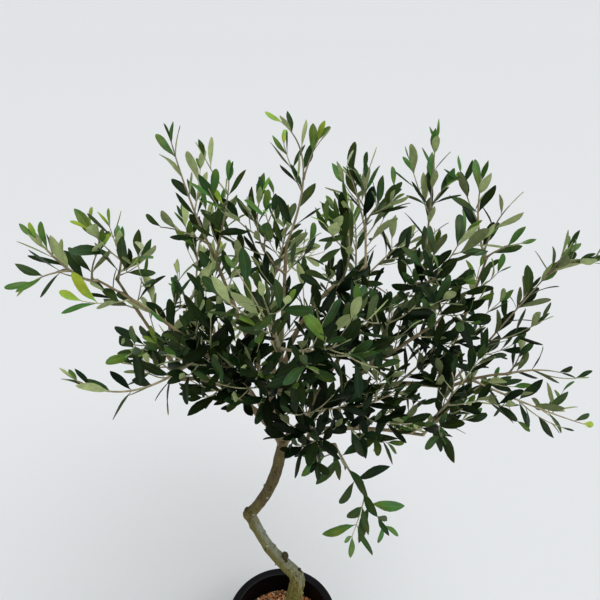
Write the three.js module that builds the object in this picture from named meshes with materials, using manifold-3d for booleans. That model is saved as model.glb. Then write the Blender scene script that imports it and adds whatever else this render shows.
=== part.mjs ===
// A young olive tree in a black nursery pot: a kinked grey-green trunk, a low open crown of
// thin arching boughs, and sprays of narrow leathery leaves that stand in opposite pairs.
//
// Lengths are millimetres and +Z is up. The origin is the middle of the pot's flat underside.
// The widest side of the crown faces -Y.
import * as THREE from "three";
import { mergeVertices } from "three/addons/utils/BufferGeometryUtils.js";
import Module from "manifold-3d";

const wasm = await Module();
wasm.setup();

const GAP = 0.3; // clearance between pieces that touch
const SLIVER = 0.02; // edges shorter than this are closed up

// Pot: an open tapered tub with a folded rim, moulded in one piece.
const POT_HEIGHT = 225;
const POT_WALL = 3;
const POT_FOOT_RADIUS = 84;
const POT_NECK_RADIUS = 107;
const RIM_RADIUS = 120;
const RIM_DROP = 26;
const POT_BASE = 4;
const POT_SIDES = 32;
const DRAIN_HOLES = 6;
const DRAIN_RADIUS = 6;
const DRAIN_CIRCLE = 56;

// Potting mix, with its gravel top well below the rim.
const SOIL_TOP = 173;
const SOIL_CROWN = 3; // how much higher the gravel lies at the trunk

// Trunk: its bends as [x, y, height], and its radius at each.
const TRUNK_BENDS = [
  { at: [8, 0, 150], radius: 25 },
  { at: [10, 0, 178], radius: 21 },
  { at: [17, -2, 225], radius: 17.8 },
  { at: [25, -4, 289], radius: 16.4 },
  { at: [34, -8, 349], radius: 14.7 },
  { at: [32, -8, 376], radius: 14 },
  { at: [18, -5, 396], radius: 12.7 },
  { at: [0, 1, 413], radius: 12 },
  { at: [-20, 8, 436], radius: 11.3 },
  { at: [-41, 15, 477], radius: 10.6 },
  { at: [-54, 19, 509], radius: 10.7 },
  { at: [-59, 20, 525], radius: 11 },
  { at: [-48, 19, 544], radius: 10.6 },
  { at: [-34, 16, 570], radius: 10.5 },
  { at: [-20, 12, 603], radius: 10.5 },
  { at: [-7, 8, 644], radius: 10.4 },
  { at: [3, 4, 690], radius: 10.4 },
  { at: [10, 0, 738], radius: 8.2 },
];
const TRUNK_SIDES = 8;
const TRUNK_STEPS = 44;
// Knots and pruned stubs: share of the trunk's length, bearing they face in degrees, how far
// they stand out, and half their length.
const TRUNK_KNOTS = [
  { share: 0.372, facing: 350, stands: 3.5, half: 9 },
  { share: 0.44, facing: 345, stands: 7.5, half: 9 },
  { share: 0.492, facing: 350, stands: 3, half: 9 },
  { share: 0.594, facing: 180, stands: 3, half: 8 },
  { share: 0.648, facing: 170, stands: 5, half: 9 },
];
const KNOT_ROUNDNESS = 4; // how soon a knot falls away round the trunk
const ROOT_FLARE = 0.1;
const ROOT_FLARE_SHARE = 0.12;
const ROOT_FLARE_LOBES = 5;

// Crown: places are given as [bearing in degrees, distance out from the pot's axis, height
// above the fork]. Bearing 0 is +X and 90 is +Y.
const FORK_HEIGHT = 730;
const BOUGH_SIDES = 5;
const BOUGH_STEPS = 4;
const BOUGHS = {
  left: { on: "trunk", at: 0.985, through: [167, 80, 100], to: [175, 158, 129], radius: [6.4, 3.6] },
  right: { on: "trunk", at: 0.985, through: [8, 140, 98], to: [6, 300, 98], radius: [6.8, 3.4] },
  upright: { on: "trunk", at: 0.985, through: [12, 30, 215], to: [19, 153, 323], radius: [5.8, 2.6] },
  left_rise: { on: "left", at: 1, through: [178, 197, 225], to: [182, 234, 328], radius: [3.4, 2] },
  front_left: { on: "left", at: 0.14, through: [232, 62, 150], to: [223, 132, 253], radius: [4.6, 2.8] },
  left_reach: { on: "front_left", at: 1, through: [195, 188, 298], to: [184, 259, 331], radius: [2.6, 1.8] },
  back_left: { on: "upright", at: 0.1, through: [150, 50, 190], to: [150, 115, 345], radius: [4.6, 2.6] },
  top: { on: "upright", at: 0.22, through: [80, 55, 200], to: [80, 102, 341], radius: [4.2, 2.6] },
  front: { on: "front_left", at: 0.12, through: [280, 62, 165], to: [275, 130, 290], radius: [4.2, 2.6] },
  front_right: { on: "right", at: 0.12, through: [342, 115, 150], to: [356, 255, 262], radius: [4.6, 2.2] },
  back_right: { on: "right", at: 0.2, through: [20, 130, 175], to: [22, 270, 284], radius: [4.4, 2.4] },
  low: { on: "right", at: 0.08, through: [2, 130, 30], to: [3, 262, 6], radius: [4.6, 2.8] },
  front_low: { on: "low", at: 0.16, through: [322, 72, 42], to: [330, 112, 48], radius: [3.6, 2.4] },
  back: { on: "back_left", at: 0.12, through: [95, 100, 135], to: [94, 215, 235], radius: [4.4, 2.4] },
  far_right: { on: "back_right", at: 0.14, through: [52, 125, 135], to: [50, 235, 225], radius: [4, 2.4] },
  far_left: { on: "back", at: 0.14, through: [138, 110, 130], to: [133, 235, 215], radius: [4, 2.4] },
  right_end: { on: "right", at: 1, through: [5, 349, 120], to: [4, 396, 130], radius: [3, 2] },
  right_rise: { on: "right", at: 0.93, through: [11, 322, 210], to: [13, 355, 322], radius: [3, 1.9] },
};

// Sprays of foliage: a stem from a bough through one place to its tip, arms that leave it at a
// share of its length, and a number of side twigs that the seeded rule places.
const SPRAYS = {
  left_tip: { on: "left_reach", at: 1, through: [184, 292, 345], to: [183, 336, 398], twigs: 1,
    arms: [{ share: 0.08, to: [183, 249, 381] }, { share: 0.4, to: [187, 347, 340] }] },
  left_fork: { on: "left_rise", at: 1, through: [182, 224, 356], to: [180, 224, 382], twigs: 2 },
  left_low: { on: "front_left", at: 1, through: [215, 228, 217], to: [205, 300, 230], twigs: 1,
    arms: [{ share: 0.12, to: [210, 186, 266] }] },
  left_under: { on: "left", at: 1, through: [173, 179, 139], to: [172, 203, 159], twigs: 2 },
  left_base: { on: "left", at: 0.45, through: [215, 75, 160], to: [224, 122, 203], twigs: 2 },
  left_front: { on: "front_left", at: 0.62, through: [224, 118, 225], to: [218, 150, 290], twigs: 4,
    arms: [{ share: 0.2, to: [242, 105, 265] }] },
  left_inner: { on: "left_rise", at: 0.4, through: [190, 165, 240], to: [197, 139, 274], twigs: 3,
    arms: [{ share: 0.25, to: [188, 174, 220] }, { share: 0.5, to: [178, 148, 307] }] },
  left_top: { on: "back_left", at: 1, through: [150, 150, 424], to: [152, 171, 512], twigs: 1,
    arms: [{ share: 0.08, to: [166, 178, 392] }] },
  left_crest: { on: "back_left", at: 0.96, through: [147, 88, 411], to: [144, 80, 461], twigs: 2 },
  top_left: { on: "top", at: 0.82, through: [112, 62, 365], to: [106, 62, 442], twigs: 2,
    arms: [{ share: 0.4, to: [91, 39, 418] }] },
  top: { on: "top", at: 1, through: [69, 127, 460], to: [84, 112, 535], twigs: 1,
    arms: [{ share: 0.52, to: [61, 141, 505] }] },
  top_right: { on: "upright", at: 1, through: [29, 165, 385], to: [35, 174, 452], twigs: 2,
    arms: [{ share: 0.4, to: [30, 126, 480] }, { share: 0.5, to: [27, 193, 421] }] },
  front_top: { on: "upright", at: 0.78, through: [335, 116, 365], to: [328, 114, 462], twigs: 2 },
  right_top: { on: "back_right", at: 1, through: [25, 279, 411], to: [26, 278, 506], twigs: 1,
    arms: [{ share: 0.5, to: [24, 303, 433] }] },
  right_front: { on: "back_right", at: 0.93, through: [10, 252, 300], to: [0, 247, 338], twigs: 3 },
  right_high: { on: "right_rise", at: 1, through: [14, 334, 382], to: [14, 327, 455], twigs: 1,
    arms: [{ share: 0.1, to: [10, 367, 419] }, { share: 0.02, to: [8, 388, 360] }] },
  right_tip: { on: "right", at: 1, through: [7, 395, 235], to: [7, 462, 336], twigs: 2,
    arms: [{ share: 0.88, to: [6, 486, 334] }] },
  right_level: { on: "right_end", at: 1, through: [4, 444, 136], to: [3, 486, 135], twigs: 1,
    arms: [{ share: 0.05, to: [4, 412, 178] }] },
  right_low: { on: "right_end", at: 0.42, through: [0, 435, 85], to: [0, 537, 43], twigs: 2 },
  right_under: { on: "low", at: 1, through: [2, 306, 74], to: [4, 354, 106], twigs: 2,
    arms: [{ share: 0.05, to: [3, 241, 19] }] },
  right_base: { on: "right", at: 0.3, through: [336, 149, 132], to: [337, 196, 171], twigs: 4 },
  low_middle: { on: "low", at: 0.4, through: [344, 168, 91], to: [344, 195, 122], twigs: 2,
    arms: [{ share: 0.1, to: [11, 221, -7] }] },
  front_right: { on: "low", at: 0.9, through: [352, 280, 118], to: [347, 278, 198], twigs: 3 },
  right_mid: { on: "front_right", at: 1, through: [354, 262, 284], to: [350, 264, 302], twigs: 2 },
  right_inner: { on: "front_right", at: 0.6, through: [346, 170, 240], to: [345, 178, 290], twigs: 3 },
  drooping: { on: "front_low", at: 1, through: [334, 156, -35], to: [334, 206, -107], twigs: 1,
    arms: [{ share: 0.06, to: [323, 89, 15] }] },
  front_low: { on: "front_low", at: 0.72, through: [302, 110, 111], to: [290, 134, 195], twigs: 3 },
  front_left: { on: "front", at: 1, through: [272, 160, 340], to: [269, 182, 390], twigs: 2,
    arms: [{ share: 0.1, to: [252, 130, 398] }] },
  front_mid: { on: "front", at: 0.96, through: [290, 162, 295], to: [297, 195, 318], twigs: 3 },
  front_centre: { on: "front", at: 0.5, through: [262, 95, 190], to: [248, 112, 250], twigs: 4,
    arms: [{ share: 0.2, to: [284, 122, 200] }] },
  centre: { on: "upright", at: 0.42, through: [345, 70, 200], to: [335, 112, 245], twigs: 4 },
  back_left: { on: "far_left", at: 1, through: [128, 223, 228], to: [122, 241, 261], twigs: 2,
    arms: [{ share: 0.1, to: [128, 217, 144] }] },
  back_left_high: { on: "far_left", at: 0.94, through: [128, 234, 304], to: [123, 230, 346], twigs: 2 },
  back: { on: "back", at: 1, through: [89, 270, 246], to: [83, 327, 245], twigs: 2 },
  back_high: { on: "back", at: 0.9, through: [87, 205, 306], to: [85, 213, 350], twigs: 2 },
  back_low: { on: "back", at: 0.72, through: [104, 220, 155], to: [108, 285, 150], twigs: 2 },
  back_right: { on: "far_right", at: 1, through: [47, 285, 262], to: [44, 335, 292], twigs: 2,
    arms: [{ share: 0.1, to: [33, 300, 160] }] },
  back_right_high: { on: "far_right", at: 0.94, through: [54, 243, 313], to: [57, 248, 359], twigs: 2 },
  right_column: { on: "right", at: 0.72, through: [6, 251, 160], to: [5, 272, 206], twigs: 3 },
};
const STEM_RADIUS = [2.7, 1.8];
const TWIG_RADIUS = [1.3, 1.2];
const STEM_STEPS = 3;
const TWIG_STEPS = 1;
const ARM_BOW = 0.08; // how far an arm bows along its stem, as a share of its length
const TWIG_SEED = 1000;
const LEAF_SEED = 5000;
const FIRST_TWIG = 0.24; // where side twigs start, as a share of their stem
const TWIG_STRETCH = 0.66; // the share of the stem that they are spread over
const TWIG_LENGTH = 88;
const TWIG_SPREAD = [0.75, 1.25]; // shortest and longest twig beside that length
const TWIG_TAPER = 0.3; // how much shorter twigs are at the stem's tip
const TWIG_LEAN = 52; // degrees between a side twig and its stem
const TWIG_LEAN_SPREAD = 16;
const TWIG_TURN_SPREAD = 50; // each twig leaves a quarter turn on from the last, and up to this more
const TWIG_RISE = 0.22; // how far a twig turns up as it leaves
const TWIG_TIP_RISE = 0.16; // how far its tip curves up, as a share of its length
const BARE_SHARE = 0.16; // the stem's foot that has no leaves

// Leaves: opposite pairs, each pair a quarter turn from the last.
const LEAF_LENGTH = 62;
const LEAF_WIDTH = 22;
const LEAF_THICKNESS = 1.4;
const LEAF_WIDEST = 0.52; // share of the leaf's length
const LEAF_ARCH = 1.5;
const LEAF_SINK = 0.4; // how far a leaf's root passes the middle of its twig
const LEAF_SPREAD = [0.85, 1.15]; // shortest and longest leaf beside that length
const LEAF_LEAN = 48; // degrees between a leaf and its twig
const TIP_LEAF_LEAN = 25;
const LEAF_LEAN_SPREAD = 14;
const LEAF_LIFT = 0.8; // how far a leaf turns its upper side to the sky
const TIP_SHARE = 0.985; // where the last pair stands, as a share of its twig
const TIP_LEAF_SHARE = 0.75; // length of a twig's youngest leaves beside the others
const PAIR_GAP = 80; // between one pair of leaves and the next
const SPACE_RADIUS = 125; // how far a spray's leaf tips may stand from its stems
const LEAF_ROOT = 0.2; // share of a leaf that may come near its own twig
const TWIG_ROOT = 0.25; // share of a twig that may come near other limbs
const CLEAR = 2.2; // least room between the pieces of two sprays

const UP = new THREE.Vector3(0, 0, 1);
const rad = THREE.MathUtils.degToRad;

// A place in the crown from its bearing, distance out and height above the fork.
function place([bearing, out, rise]) {
  return new THREE.Vector3(out * Math.cos(rad(bearing)), out * Math.sin(rad(bearing)), FORK_HEIGHT + rise);
}

// A generator of shares from 0 to 1 that gives the same run for the same seed.
function dice(seed) {
  let state = Math.imul(seed, 2654435761) >>> 0;
  return () => {
    state = (Math.imul(state, 1664525) + 1013904223) >>> 0;
    return state / 4294967296;
  };
}

// A curve from foot to tip that passes through a third place half way.
function curveThrough(foot, through, tip) {
  const control = through.clone().multiplyScalar(2).addScaledVector(foot, -0.5).addScaledVector(tip, -0.5);
  return new THREE.QuadraticBezierCurve3(foot, control, tip);
}

// Two directions square to an axis.
function squareTo(axis) {
  const reference = Math.abs(axis.z) < 0.95 ? UP : new THREE.Vector3(1, 0, 0);
  const level = new THREE.Vector3().crossVectors(axis, reference).normalize();
  return [level, new THREE.Vector3().crossVectors(axis, level).normalize()];
}

// A solid from a closed geometry.
function solidOf(geometry) {
  const bare = geometry.clone();
  bare.deleteAttribute("normal");
  bare.deleteAttribute("uv");
  const merged = mergeVertices(bare, 1e-4);
  const mesh = new wasm.Mesh({
    numProp: 3,
    vertProperties: merged.attributes.position.array,
    triVerts: new Uint32Array(merged.index.array),
  });
  return new wasm.Manifold(mesh);
}

// A geometry from a solid, moved so that the given place is its origin.
function geometryOf(solid, origin) {
  const mesh = solid.getMesh();
  const geometry = new THREE.BufferGeometry();
  geometry.setAttribute("position", new THREE.BufferAttribute(new Float32Array(mesh.vertProperties), 3));
  geometry.setIndex(new THREE.BufferAttribute(new Uint32Array(mesh.triVerts), 1));
  geometry.translate(-origin.x, -origin.y, -origin.z);
  geometry.computeVertexNormals();
  return geometry;
}

// The largest body of a solid once its slivers are closed up, so that a cut leaves no scrap.
function largestBody(solid) {
  const bodies = solid.simplify(SLIVER).decompose();
  return bodies.reduce((best, body) => (body.volume() > best.volume() ? body : best));
}

// A limb: a cylinder bent along a curve, whose radius depends on the share of its length and
// on the direction outwards.
function limbGeometry(curve, radiusAt, sides, steps) {
  const geometry = new THREE.CylinderGeometry(1, 1, 1, sides, steps);
  const frames = curve.computeFrenetFrames(steps, false);
  const position = geometry.getAttribute("position");
  const point = new THREE.Vector3();
  const outward = new THREE.Vector3();
  for (let i = 0; i < position.count; i += 1) {
    const step = Math.round((position.getY(i) + 0.5) * steps);
    outward.copy(frames.normals[step]).multiplyScalar(position.getX(i));
    outward.addScaledVector(frames.binormals[step], -position.getZ(i));
    curve.getPointAt(step / steps, point);
    if (outward.length() > 0.5) point.addScaledVector(outward.normalize(), radiusAt(step / steps, outward));
    position.setXYZ(i, point.x, point.y, point.z);
  }
  return geometry;
}

const taper = ([foot, tip], extra = 0) => (share) => foot + (tip - foot) * share + extra;

// The pot's wall and rim, turned round its axis, with drain holes through the base.
function potSolid() {
  const wallTop = POT_HEIGHT - RIM_DROP;
  const profile = [
    [0, 0],
    [POT_FOOT_RADIUS - 2, 0],
    [POT_FOOT_RADIUS, 2],
    [POT_NECK_RADIUS, wallTop],
    [RIM_RADIUS, wallTop],
    [RIM_RADIUS, POT_HEIGHT - 2],
    [RIM_RADIUS - 2, POT_HEIGHT],
    [POT_NECK_RADIUS + 1, POT_HEIGHT],
    [POT_NECK_RADIUS - POT_WALL, wallTop - 4],
    [POT_FOOT_RADIUS - POT_WALL, POT_BASE],
    [0, POT_BASE],
  ].map(([r, z]) => new THREE.Vector2(r, z));
  const turned = new THREE.LatheGeometry(profile, POT_SIDES).rotateX(Math.PI / 2);
  let pot = solidOf(turned);
  for (let i = 0; i < DRAIN_HOLES; i += 1) {
    const around = (2 * Math.PI * i) / DRAIN_HOLES;
    const drill = new THREE.CylinderGeometry(DRAIN_RADIUS, DRAIN_RADIUS, POT_BASE * 4, 8);
    drill.rotateX(Math.PI / 2);
    drill.translate(DRAIN_CIRCLE * Math.cos(around), DRAIN_CIRCLE * Math.sin(around), 0);
    pot = pot.subtract(solidOf(drill));
  }
  return pot;
}

// The potting mix fills the pot to the gravel's level, a gap clear of its wall.
function soilSolid() {
  const wallTop = POT_HEIGHT - RIM_DROP;
  const share = (SOIL_TOP - POT_BASE) / (wallTop - POT_BASE);
  const foot = POT_FOOT_RADIUS - POT_WALL - 1;
  const rim = foot + (POT_NECK_RADIUS - POT_FOOT_RADIUS) * share - 1;
  const profile = [
    [0, POT_BASE + GAP],
    [foot, POT_BASE + GAP],
    [rim, SOIL_TOP - SOIL_CROWN],
    [rim * 0.55, SOIL_TOP],
    [0, SOIL_TOP],
  ].map(([r, z]) => new THREE.Vector2(r, z));
  return solidOf(new THREE.LatheGeometry(profile, POT_SIDES).rotateX(Math.PI / 2));
}

// The trunk, from a flat cut on the gravel to its fork.
const bends = TRUNK_BENDS.map((bend) => new THREE.Vector3(...bend.at));
const trunkCurve = new THREE.CatmullRomCurve3(bends, false, "catmullrom", 0.5);

// The share of the trunk's length at which each bend lies.
const trunkLengths = trunkCurve.getLengths((bends.length - 1) * 20);
const bendShares = bends.map((_, i) => trunkLengths[i * 20] / trunkLengths.at(-1));

// The trunk's radius without its knots and root flare.
function plainTrunkRadius(share) {
  let i = 0;
  while (i < bendShares.length - 2 && share > bendShares[i + 1]) i += 1;
  const part = THREE.MathUtils.clamp((share - bendShares[i]) / (bendShares[i + 1] - bendShares[i]), 0, 1);
  return TRUNK_BENDS[i].radius + (TRUNK_BENDS[i + 1].radius - TRUNK_BENDS[i].radius) * part;
}

function trunkRadius(share, outward) {
  const lobes = Math.cos(ROOT_FLARE_LOBES * Math.atan2(outward.y, outward.x));
  const flare = Math.max(0, 1 - share / ROOT_FLARE_SHARE) * ROOT_FLARE * lobes;
  const knots = TRUNK_KNOTS.reduce((sum, knot) => {
    const along = ((share - knot.share) * trunkLengths.at(-1)) / knot.half;
    const towards = outward.x * Math.cos(rad(knot.facing)) + outward.y * Math.sin(rad(knot.facing));
    return sum + knot.stands * Math.exp(-along * along) * Math.max(0, towards) ** KNOT_ROUNDNESS;
  }, 0);
  return plainTrunkRadius(share) * (1 + flare) + knots;
}

function trunkSolid(extra) {
  const radiusAt = (share, outward) => trunkRadius(share, outward) + extra;
  const geometry = limbGeometry(trunkCurve, radiusAt, TRUNK_SIDES, TRUNK_STEPS);
  const below = new THREE.BoxGeometry(200, 200, 200).translate(0, 0, SOIL_TOP + GAP - 100);
  return solidOf(geometry).subtract(solidOf(below));
}

// Balls that stand for pieces already placed, sorted into cells, each with its owner's name.
const CELL = 24;
const cells = new Map();
const cellKey = (x, y, z) => `${Math.floor(x / CELL)},${Math.floor(y / CELL)},${Math.floor(z / CELL)}`;

function claim(balls, owner) {
  for (const ball of balls) {
    const key = cellKey(ball.centre.x, ball.centre.y, ball.centre.z);
    if (!cells.has(key)) cells.set(key, []);
    cells.get(key).push({ ...ball, owner });
  }
}

// True if none of the balls comes near a ball of another owner, and no leaf's ball meets any.
function isFree(balls, owner) {
  for (const { centre, radius, leaf } of balls) {
    for (let dx = -1; dx <= 1; dx += 1) {
      for (let dy = -1; dy <= 1; dy += 1) {
        for (let dz = -1; dz <= 1; dz += 1) {
          const key = cellKey(centre.x + dx * CELL, centre.y + dy * CELL, centre.z + dz * CELL);
          for (const other of cells.get(key) ?? []) {
            if (other.owner === owner && !leaf) continue;
            const room = radius + other.radius + (other.owner === owner ? 0 : CLEAR);
            if (centre.distanceToSquared(other.centre) < room * room) return false;
          }
        }
      }
    }
  }
  return true;
}

function ballsAlong(curve, radiusAt, from = 0) {
  const count = Math.max(2, Math.ceil((curve.getLength() * (1 - from)) / 5));
  return Array.from({ length: count + 1 }, (_, i) => {
    const share = from + ((1 - from) * i) / count;
    return { centre: curve.getPointAt(share), radius: radiusAt(share) };
  });
}

// A value between two, for a roll from 0 to 1.
const between = ([low, high], roll) => low + (high - low) * roll;

// A direction that leans away from an axis by one angle, turned round it by another.
function leaning(along, lean, turn) {
  const [level, across] = squareTo(along);
  const way = along.clone().multiplyScalar(Math.cos(rad(lean)));
  way.addScaledVector(level, Math.sin(rad(lean)) * Math.cos(rad(turn)));
  return way.addScaledVector(across, Math.sin(rad(lean)) * Math.sin(rad(turn)));
}

// The side twigs of one stem, by the seeded rule: they leave it in turn on four sides, lean
// out and then rise.
function sideTwigs(stem, count, roll) {
  return Array.from({ length: count }, (_, i) => {
    const share = FIRST_TWIG + (TWIG_STRETCH * (i + roll())) / count;
    const foot = stem.getPointAt(share);
    const turn = 90 * i + TWIG_TURN_SPREAD * roll();
    const lean = TWIG_LEAN + TWIG_LEAN_SPREAD * (roll() - 0.5);
    const way = leaning(stem.getTangentAt(share), lean, turn).addScaledVector(UP, TWIG_RISE).normalize();
    const length = TWIG_LENGTH * between(TWIG_SPREAD, roll()) * (1 - TWIG_TAPER * share);
    const middle = foot.clone().addScaledVector(way, length / 2);
    const tip = foot.clone().addScaledVector(way, length).addScaledVector(UP, length * TWIG_TIP_RISE);
    return curveThrough(foot, middle, tip);
  });
}

// The leaves of one stem or twig: pairs along it, and a pair of younger leaves at its tip.
function leavesAlong(curve, roll) {
  const count = Math.max(1, Math.round((curve.getLength() * (1 - BARE_SHARE)) / PAIR_GAP));
  const start = 180 * roll();
  const leaves = [];
  for (let i = 0; i <= count; i += 1) {
    const young = i === count;
    const share = young ? TIP_SHARE : BARE_SHARE + ((TIP_SHARE - BARE_SHARE) * (i + 0.3)) / count;
    const along = curve.getTangentAt(share);
    for (const side of [0, 180]) {
      const lean = (young ? TIP_LEAF_LEAN : LEAF_LEAN) + LEAF_LEAN_SPREAD * (roll() - 0.5);
      const way = leaning(along, lean, start + 90 * i + side).normalize();
      const face = along.clone().addScaledVector(UP, LEAF_LIFT);
      face.addScaledVector(way, -face.dot(way)).normalize();
      const length = LEAF_LENGTH * (young ? TIP_LEAF_SHARE : 1) * between(LEAF_SPREAD, roll());
      leaves.push({ root: curve.getPointAt(share), way, face, length });
    }
  }
  return leaves;
}

// A leaf: a ball of six faces drawn out to a blade, widest past its middle, with a ridge along
// its upper side.
function leafGeometry({ root, way, face, length }) {
  const width = (LEAF_WIDTH * length) / LEAF_LENGTH;
  const sideways = new THREE.Vector3().crossVectors(face, way);
  const geometry = new THREE.SphereGeometry(1, 3, 2);
  const position = geometry.getAttribute("position");
  const point = new THREE.Vector3();
  for (let i = 0; i < position.count; i += 1) {
    const end = position.getY(i);
    const around = Math.atan2(-position.getZ(i), -position.getX(i));
    const along = end < -0.5 ? -LEAF_SINK : end > 0.5 ? length : length * LEAF_WIDEST;
    const onRidge = Math.abs(around) < 1;
    point.copy(root).addScaledVector(way, along);
    if (Math.abs(end) < 0.5) {
      point.addScaledVector(sideways, onRidge ? 0 : (Math.sign(around) * width) / 2);
      point.addScaledVector(face, LEAF_ARCH + (onRidge ? LEAF_THICKNESS : 0));
    }
    position.setXYZ(i, point.x, point.y, point.z);
  }
  return geometry;
}

function leafBalls({ root, way, face, length }) {
  const width = (LEAF_WIDTH * length) / LEAF_LENGTH;
  const sideways = new THREE.Vector3().crossVectors(face, way);
  const balls = [];
  for (let along = 0.1; along < 1.05; along += 0.1) {
    const half = (width / 2) * (1 - Math.abs(along - LEAF_WIDEST) / LEAF_WIDEST);
    for (const across of half > 3 ? [-0.7, 0, 0.7] : [0]) {
      const centre = root.clone().addScaledVector(way, along * length);
      centre.addScaledVector(sideways, across * half);
      balls.push({ centre, radius: Math.max(1.2, half * 0.35), leaf: along > LEAF_ROOT });
    }
  }
  return balls;
}

const group = new THREE.Group();

function addPiece(name, solid, origin, material) {
  const piece = new THREE.Mesh(geometryOf(solid, origin), material);
  piece.name = name;
  piece.position.copy(origin);
  group.add(piece);
}

const potPlastic = new THREE.MeshStandardMaterial({ color: 0x1b1b1d, roughness: 0.55, metalness: 0 });
const gravel = new THREE.MeshStandardMaterial({ color: 0x8a5a3a, roughness: 0.95, metalness: 0 });
const bark = new THREE.MeshStandardMaterial({ color: 0x7d7c5c, roughness: 0.85, metalness: 0 });
const boughBark = new THREE.MeshStandardMaterial({ color: 0x6f6353, roughness: 0.85, metalness: 0 });
const leafGreen = new THREE.MeshStandardMaterial({ color: 0x2f4a2a, roughness: 0.5, metalness: 0 });

addPiece("pot", potSolid(), new THREE.Vector3(), potPlastic);
addPiece("soil", soilSolid(), new THREE.Vector3(0, 0, POT_BASE), gravel);
const trunkFoot = new THREE.Vector3(TRUNK_BENDS[0].at[0], TRUNK_BENDS[0].at[1], SOIL_TOP);
addPiece("trunk", trunkSolid(0), trunkFoot, bark);
claim(ballsAlong(trunkCurve, plainTrunkRadius), "trunk");

// Each bough starts inside the limb that carries it, and is cut clear of all earlier limbs.
const limbs = new Map([["trunk", { curve: trunkCurve, grown: trunkSolid(GAP) }]]);
for (const [name, { on, at, through, to, radius }] of Object.entries(BOUGHS)) {
  const foot = limbs.get(on).curve.getPointAt(at);
  const curve = curveThrough(foot, place(through), place(to));
  let solid = solidOf(limbGeometry(curve, taper(radius), BOUGH_SIDES, BOUGH_STEPS));
  for (const other of limbs.values()) solid = solid.subtract(other.grown);
  addPiece(`bough_${name}`, largestBody(solid), foot, boughBark);
  claim(ballsAlong(curve, taper(radius)), name);
  const grown = solidOf(limbGeometry(curve, taper(radius, GAP), BOUGH_SIDES, BOUGH_STEPS));
  limbs.set(name, { curve, grown });
}

// The stems and arms of all sprays are placed first, then all side twigs, then the leaves.
const sprays = Object.entries(SPRAYS).map(([name, { on, at, through, to, arms = [], twigs }], index) => {
  const foot = limbs.get(on).curve.getPointAt(at);
  const stem = curveThrough(foot, place(through), place(to));
  const armCurves = arms.map((arm) => {
    const start = stem.getPointAt(arm.share);
    const end = place(arm.to);
    const middle = start.clone().add(end).multiplyScalar(0.5);
    middle.addScaledVector(stem.getTangentAt(arm.share), start.distanceTo(end) * ARM_BOW);
    return curveThrough(start, middle, end);
  });
  const stems = [stem, ...armCurves];
  for (const curve of stems) claim(ballsAlong(curve, taper(STEM_RADIUS)), `spray_${name}`);
  return { name: `spray_${name}`, foot, stems, twigs, index };
});

for (const spray of sprays) {
  const isClear = (twig) => isFree(ballsAlong(twig, taper(TWIG_RADIUS), TWIG_ROOT), spray.name);
  spray.twigCurves = sideTwigs(spray.stems[0], spray.twigs, dice(TWIG_SEED + spray.index)).filter(isClear);
  for (const twig of spray.twigCurves) claim(ballsAlong(twig, taper(TWIG_RADIUS)), spray.name);
}

for (const { name, foot, stems, twigCurves, index } of sprays) {
  const pieces = stems.map((curve) => solidOf(limbGeometry(curve, taper(STEM_RADIUS), 3, STEM_STEPS)));
  pieces.push(...twigCurves.map((curve) => solidOf(limbGeometry(curve, taper(TWIG_RADIUS), 3, TWIG_STEPS))));
  const roll = dice(LEAF_SEED + index);
  const near = stems.flatMap((curve) => curve.getSpacedPoints(12));
  for (const leaf of [...stems, ...twigCurves].flatMap((curve) => leavesAlong(curve, roll))) {
    const tip = leaf.root.clone().addScaledVector(leaf.way, leaf.length);
    const balls = leafBalls(leaf);
    if (near.every((point) => point.distanceTo(tip) > SPACE_RADIUS) || !isFree(balls, name)) continue;
    claim(balls, name);
    pieces.push(solidOf(leafGeometry(leaf)));
  }
  let solid = wasm.Manifold.union(pieces);
  for (const limb of limbs.values()) solid = solid.subtract(limb.grown);
  addPiece(name, largestBody(solid), foot, leafGreen);
}

export default group;
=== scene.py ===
"""A young potted olive tree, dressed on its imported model: bark, twigs, leaves, pot and gravel.

Sizes in the tables are millimetres in the model's own frame: the middle of the pot's underside
is the origin, +Z is up and the camera looks along +Y.
"""

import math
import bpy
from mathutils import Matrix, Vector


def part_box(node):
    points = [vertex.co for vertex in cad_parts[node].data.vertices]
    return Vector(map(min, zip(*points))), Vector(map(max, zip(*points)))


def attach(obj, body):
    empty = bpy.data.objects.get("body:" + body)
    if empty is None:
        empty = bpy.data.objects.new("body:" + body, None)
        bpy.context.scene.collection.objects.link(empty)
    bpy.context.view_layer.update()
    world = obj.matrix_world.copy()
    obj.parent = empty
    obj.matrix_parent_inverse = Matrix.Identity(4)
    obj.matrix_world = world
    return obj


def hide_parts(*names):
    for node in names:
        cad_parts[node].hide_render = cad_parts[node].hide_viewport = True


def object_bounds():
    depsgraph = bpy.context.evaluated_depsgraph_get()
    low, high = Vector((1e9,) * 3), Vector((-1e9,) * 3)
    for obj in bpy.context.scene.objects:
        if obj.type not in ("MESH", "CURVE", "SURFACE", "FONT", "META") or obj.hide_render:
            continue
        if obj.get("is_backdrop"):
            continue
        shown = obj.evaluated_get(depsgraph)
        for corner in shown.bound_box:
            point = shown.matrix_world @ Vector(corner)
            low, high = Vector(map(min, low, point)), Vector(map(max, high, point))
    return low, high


bl_info = {
    "name": "Potted olive tree",
    "version": (1, 0, 0),
    "blender": (4, 5, 0),
    "location": "3D View > Sidebar > Olive tree",
    "description": "Grows bark, twigs and leaves on the frame of a young potted olive tree",
    "category": "Object",
}

from collections import namedtuple
from functools import partial
from itertools import product

import bmesh
import bpy
import numpy as np
from bpy.props import FloatProperty, FloatVectorProperty, PointerProperty
from mathutils import Matrix, Vector, noise

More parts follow.
